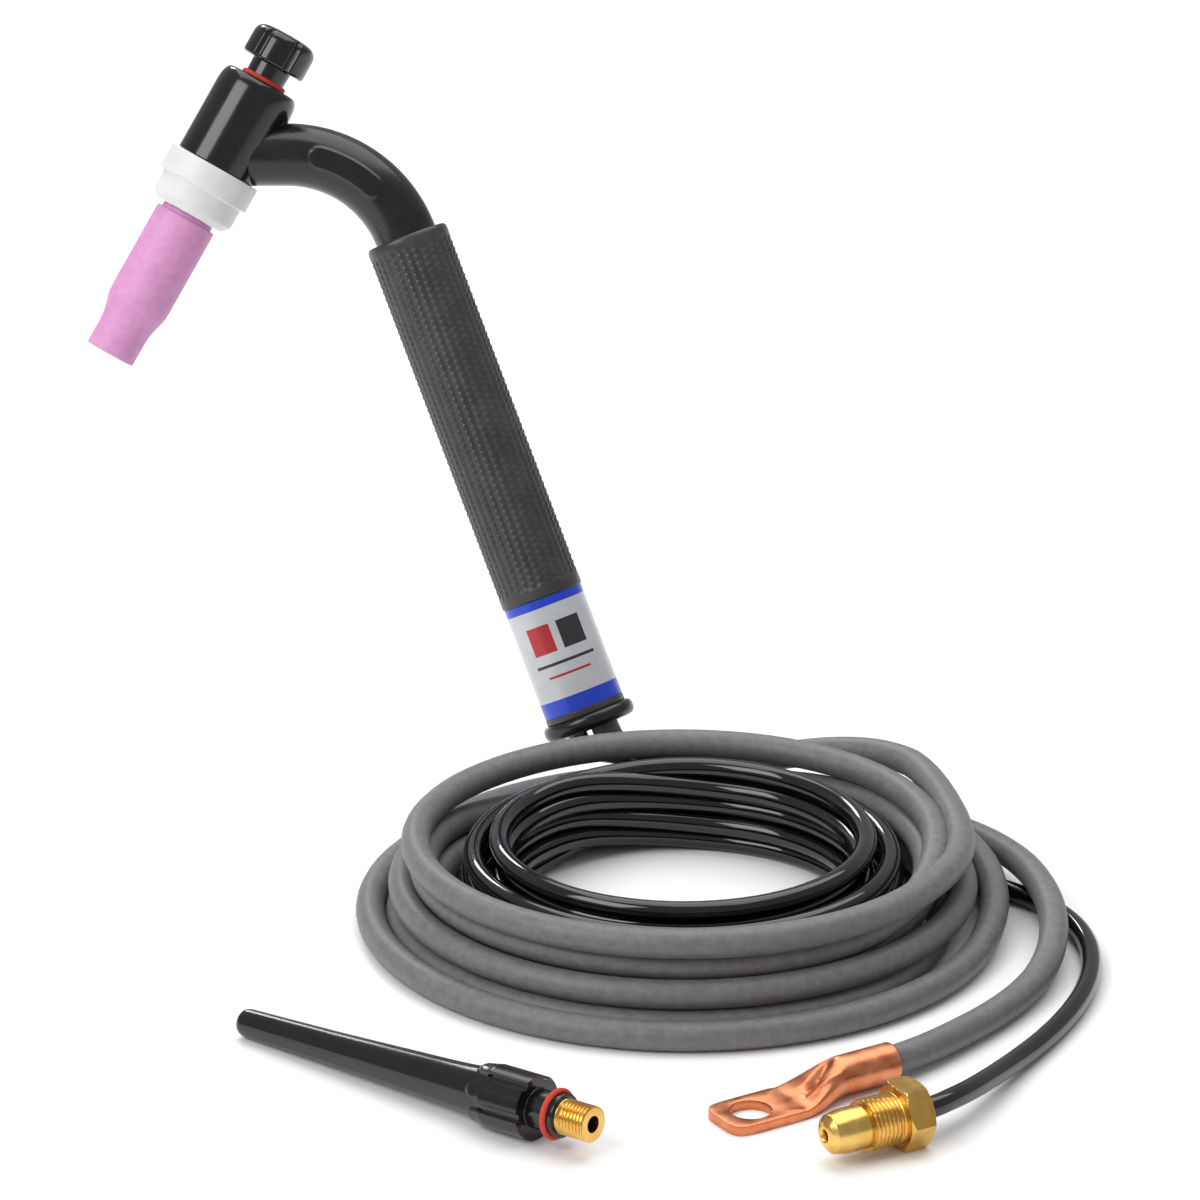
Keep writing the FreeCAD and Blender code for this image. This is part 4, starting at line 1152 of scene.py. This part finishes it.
@dataclass
class LongCap:
    """The long back cap that lies loose in front, with its brass thread and O-ring."""

    tip: float = 4.4
    bulb_start: float = 104.0
    bulb_end: float = 116.3
    bulb: float = 9.9
    neck: float = 6.0
    collar: float = 6.7
    collar_end: float = 127.0
    thread_radius: float = 5.5
    thread_end: float = 137.5
    bore: float = 2.6
    seal: float = 124.05
    lobe_count: int = 6
    lobe_nose: float = 94.5
    lobe_nose_length: float = 7.5
    groove: float = 8.5

    def build(self, frames: Frames, head: Head) -> None:
        """Build and dress the cap's pieces."""
        outline = rounded([
            (0.0, 0.0), (self.tip, 0.0), (5.3, 38.7), (6.9, 86.0), (8.0, 100.0),
            (9.1, self.bulb_start), (self.bulb, self.bulb_start + 2.5),
            (self.bulb, self.bulb_end), (self.neck, self.bulb_end),
            (self.neck, self.collar_end - 2), (self.collar, self.collar_end - 2),
            (self.collar, self.collar_end), (self.bore, self.collar_end)],
            [0, 3.0, 8.0, 8.0, 2.0, 1.5, 1.5, 1.6, 0.4, 0.2, 0.4, 0.5, 0], 10)
        mesh = spun(finer(outline, 0.6), 192)
        push(mesh, self.lobes)
        thing = piece("long_cap_moulding", mesh, frames.long_cap, PHENOLIC, 50)
        settle(thing, "long_cap", "black_plastic", "long_cap")
        insert = spun(finer([
            (self.bore, self.collar_end - 0.5), (self.thread_radius, self.collar_end - 0.5),
            (self.thread_radius, self.thread_end), (self.bore, self.thread_end),
            (self.bore, self.collar_end - 0.5)], 0.14), 96)
        push(insert, thread(self.thread_radius, self.collar_end + 0.3, self.thread_end + 0.6,
                            1.25, 0.7))
        thing = piece("long_cap_thread", insert, frames.long_cap, BRASS, 28)
        settle(thing, "long_cap", "brass_parts", "long_cap_insert")
        head.ring("long_cap_seal", frames.long_cap, self.seal, "long_cap", "long_cap_oring")

    def lobes(self, radius: float, angle: float, height: float) -> float:
        """Raise the bulb's rounded finger lobes, their noses towards the tip."""
        if not self.lobe_nose - 2.5 < height < self.bulb_end or radius < self.neck + 0.5:
            return 0.0
        pitch = FULL_TURN / self.lobe_count
        side = abs((angle + pitch / 2) % pitch - pitch / 2) / (pitch / 2)
        across = min(side / 0.80, 1.0)
        nose = self.lobe_nose + self.lobe_nose_length * (1 - math.sqrt(1 - across ** 2))
        mask = smooth((height - nose) / 1.5) * smooth((0.84 - side) / 0.16)
        groove = min(radius, self.groove)
        lobe = min(self.bulb, radius + 1.5 * smooth((height - self.lobe_nose + 1.5) / 4))
        return groove + (lobe - groove) * mask - radius


# --- studio --------------------------------------------------------------------------------

@dataclass
class Softbox:
    """One soft area light, aimed at the torch."""

    name: str
    spot: Point
    size: float
    watts: float

    def build(self, target: Vector) -> None:
        """Hang the light."""
        data = bpy.data.lights.new(self.name, "AREA")
        data.shape = "SQUARE"
        data.size = self.size
        data.energy = self.watts
        thing = bpy.data.objects.new(self.name, data)
        thing.location = Vector(self.spot)
        thing.rotation_euler = (target - thing.location).to_track_quat("-Z", "Y").to_euler()
        bpy.context.scene.collection.objects.link(thing)


@dataclass
class Studio:
    """The plain white table, its soft lights and the long-lens camera."""

    table_half: float = 6.0
    surround: float = 0.4
    lens: float = 195.0
    tilt_deg: float = 69.2
    camera_spot: Point = (-0.026, -1.8898, 0.8263)
    lights: Sequence[Softbox] = (
        Softbox("overhead_softbox", (0.3, 0.7, 2.4), 3.0, 60.0),
        Softbox("front_left_softbox", (-1.3, -1.1, 1.3), 1.3, 24.0),
        Softbox("back_left_strip", (-0.5, 1.5, 0.9), 0.35, 5.0),
    )

    def build(self, frames: Frames) -> None:
        """Set the table, lights, surroundings and camera."""
        mesh = bmesh.new()
        bmesh.ops.create_grid(mesh, x_segments=2, y_segments=2, size=self.table_half)
        piece("studio_floor", mesh, Matrix.Translation(frames.floor), TABLE)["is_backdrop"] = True
        for light in self.lights:
            light.build(frames.floor)
        scene = bpy.context.scene
        world = bpy.data.worlds.new("white_surround")
        world.use_nodes = True
        background = world.node_tree.nodes["Background"]
        background.inputs["Color"].default_value = (1, 1, 1, 1)
        background.inputs["Strength"].default_value = self.surround
        scene.world = world
        scene.view_settings.view_transform = "Standard"
        data = bpy.data.cameras.new("long_lens")
        data.lens = self.lens
        data.sensor_width = 36.0
        data.clip_start = 0.05
        data.clip_end = 30.0
        camera = bpy.data.objects.new("long_lens", data)
        camera.location = frames.floor + Vector(self.camera_spot)
        camera.rotation_euler = (math.radians(self.tilt_deg), 0.0, 0.0)
        scene.collection.objects.link(camera)
        scene.camera = camera


def dress_nodes(frame: dict) -> None:
    """Give each carried-over part the finish of its material."""
    slots = {item["node"]: item["material_slot"] for item in frame["record"]["subparts"]}
    for name, slot in slots.items():
        thing = bpy.data.objects[name]
        finish = NODE_FINISH[slot].material()
        if not thing.material_slots:
            thing.data.materials.append(finish)
        for place in thing.material_slots:
            place.material = finish


def write_sizes(packed: Sequence[Vector]) -> None:
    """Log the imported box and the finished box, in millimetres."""
    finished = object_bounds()
    rows = {"packed": [list(v) for v in packed], "finished": [list(v) for v in finished]}
    for key, (low, high) in rows.items():
        LOG.info("%s %s", key, [round((b - a) / MM, 1) for a, b in zip(low, high)])


def main() -> None:
    """Build the torch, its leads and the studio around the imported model."""
    logging.basicConfig(level=logging.INFO, format="%(message)s")
    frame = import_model()
    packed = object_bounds()
    dress_nodes(frame)
    frames = Frames.read(frame, Layout())
    leads = Leads()
    cable, hose = leads.build(frames)
    lug = CableLug().build(frames)
    brass = GasFitting().build(frames)
    Handle().build(frames)
    Neck().build(frames)
    head = Head()
    head.build(frames)
    LongCap().build(frames, head)
    Studio().build(frames)
    write_sizes(packed)


if __name__ == "__main__":
    main()
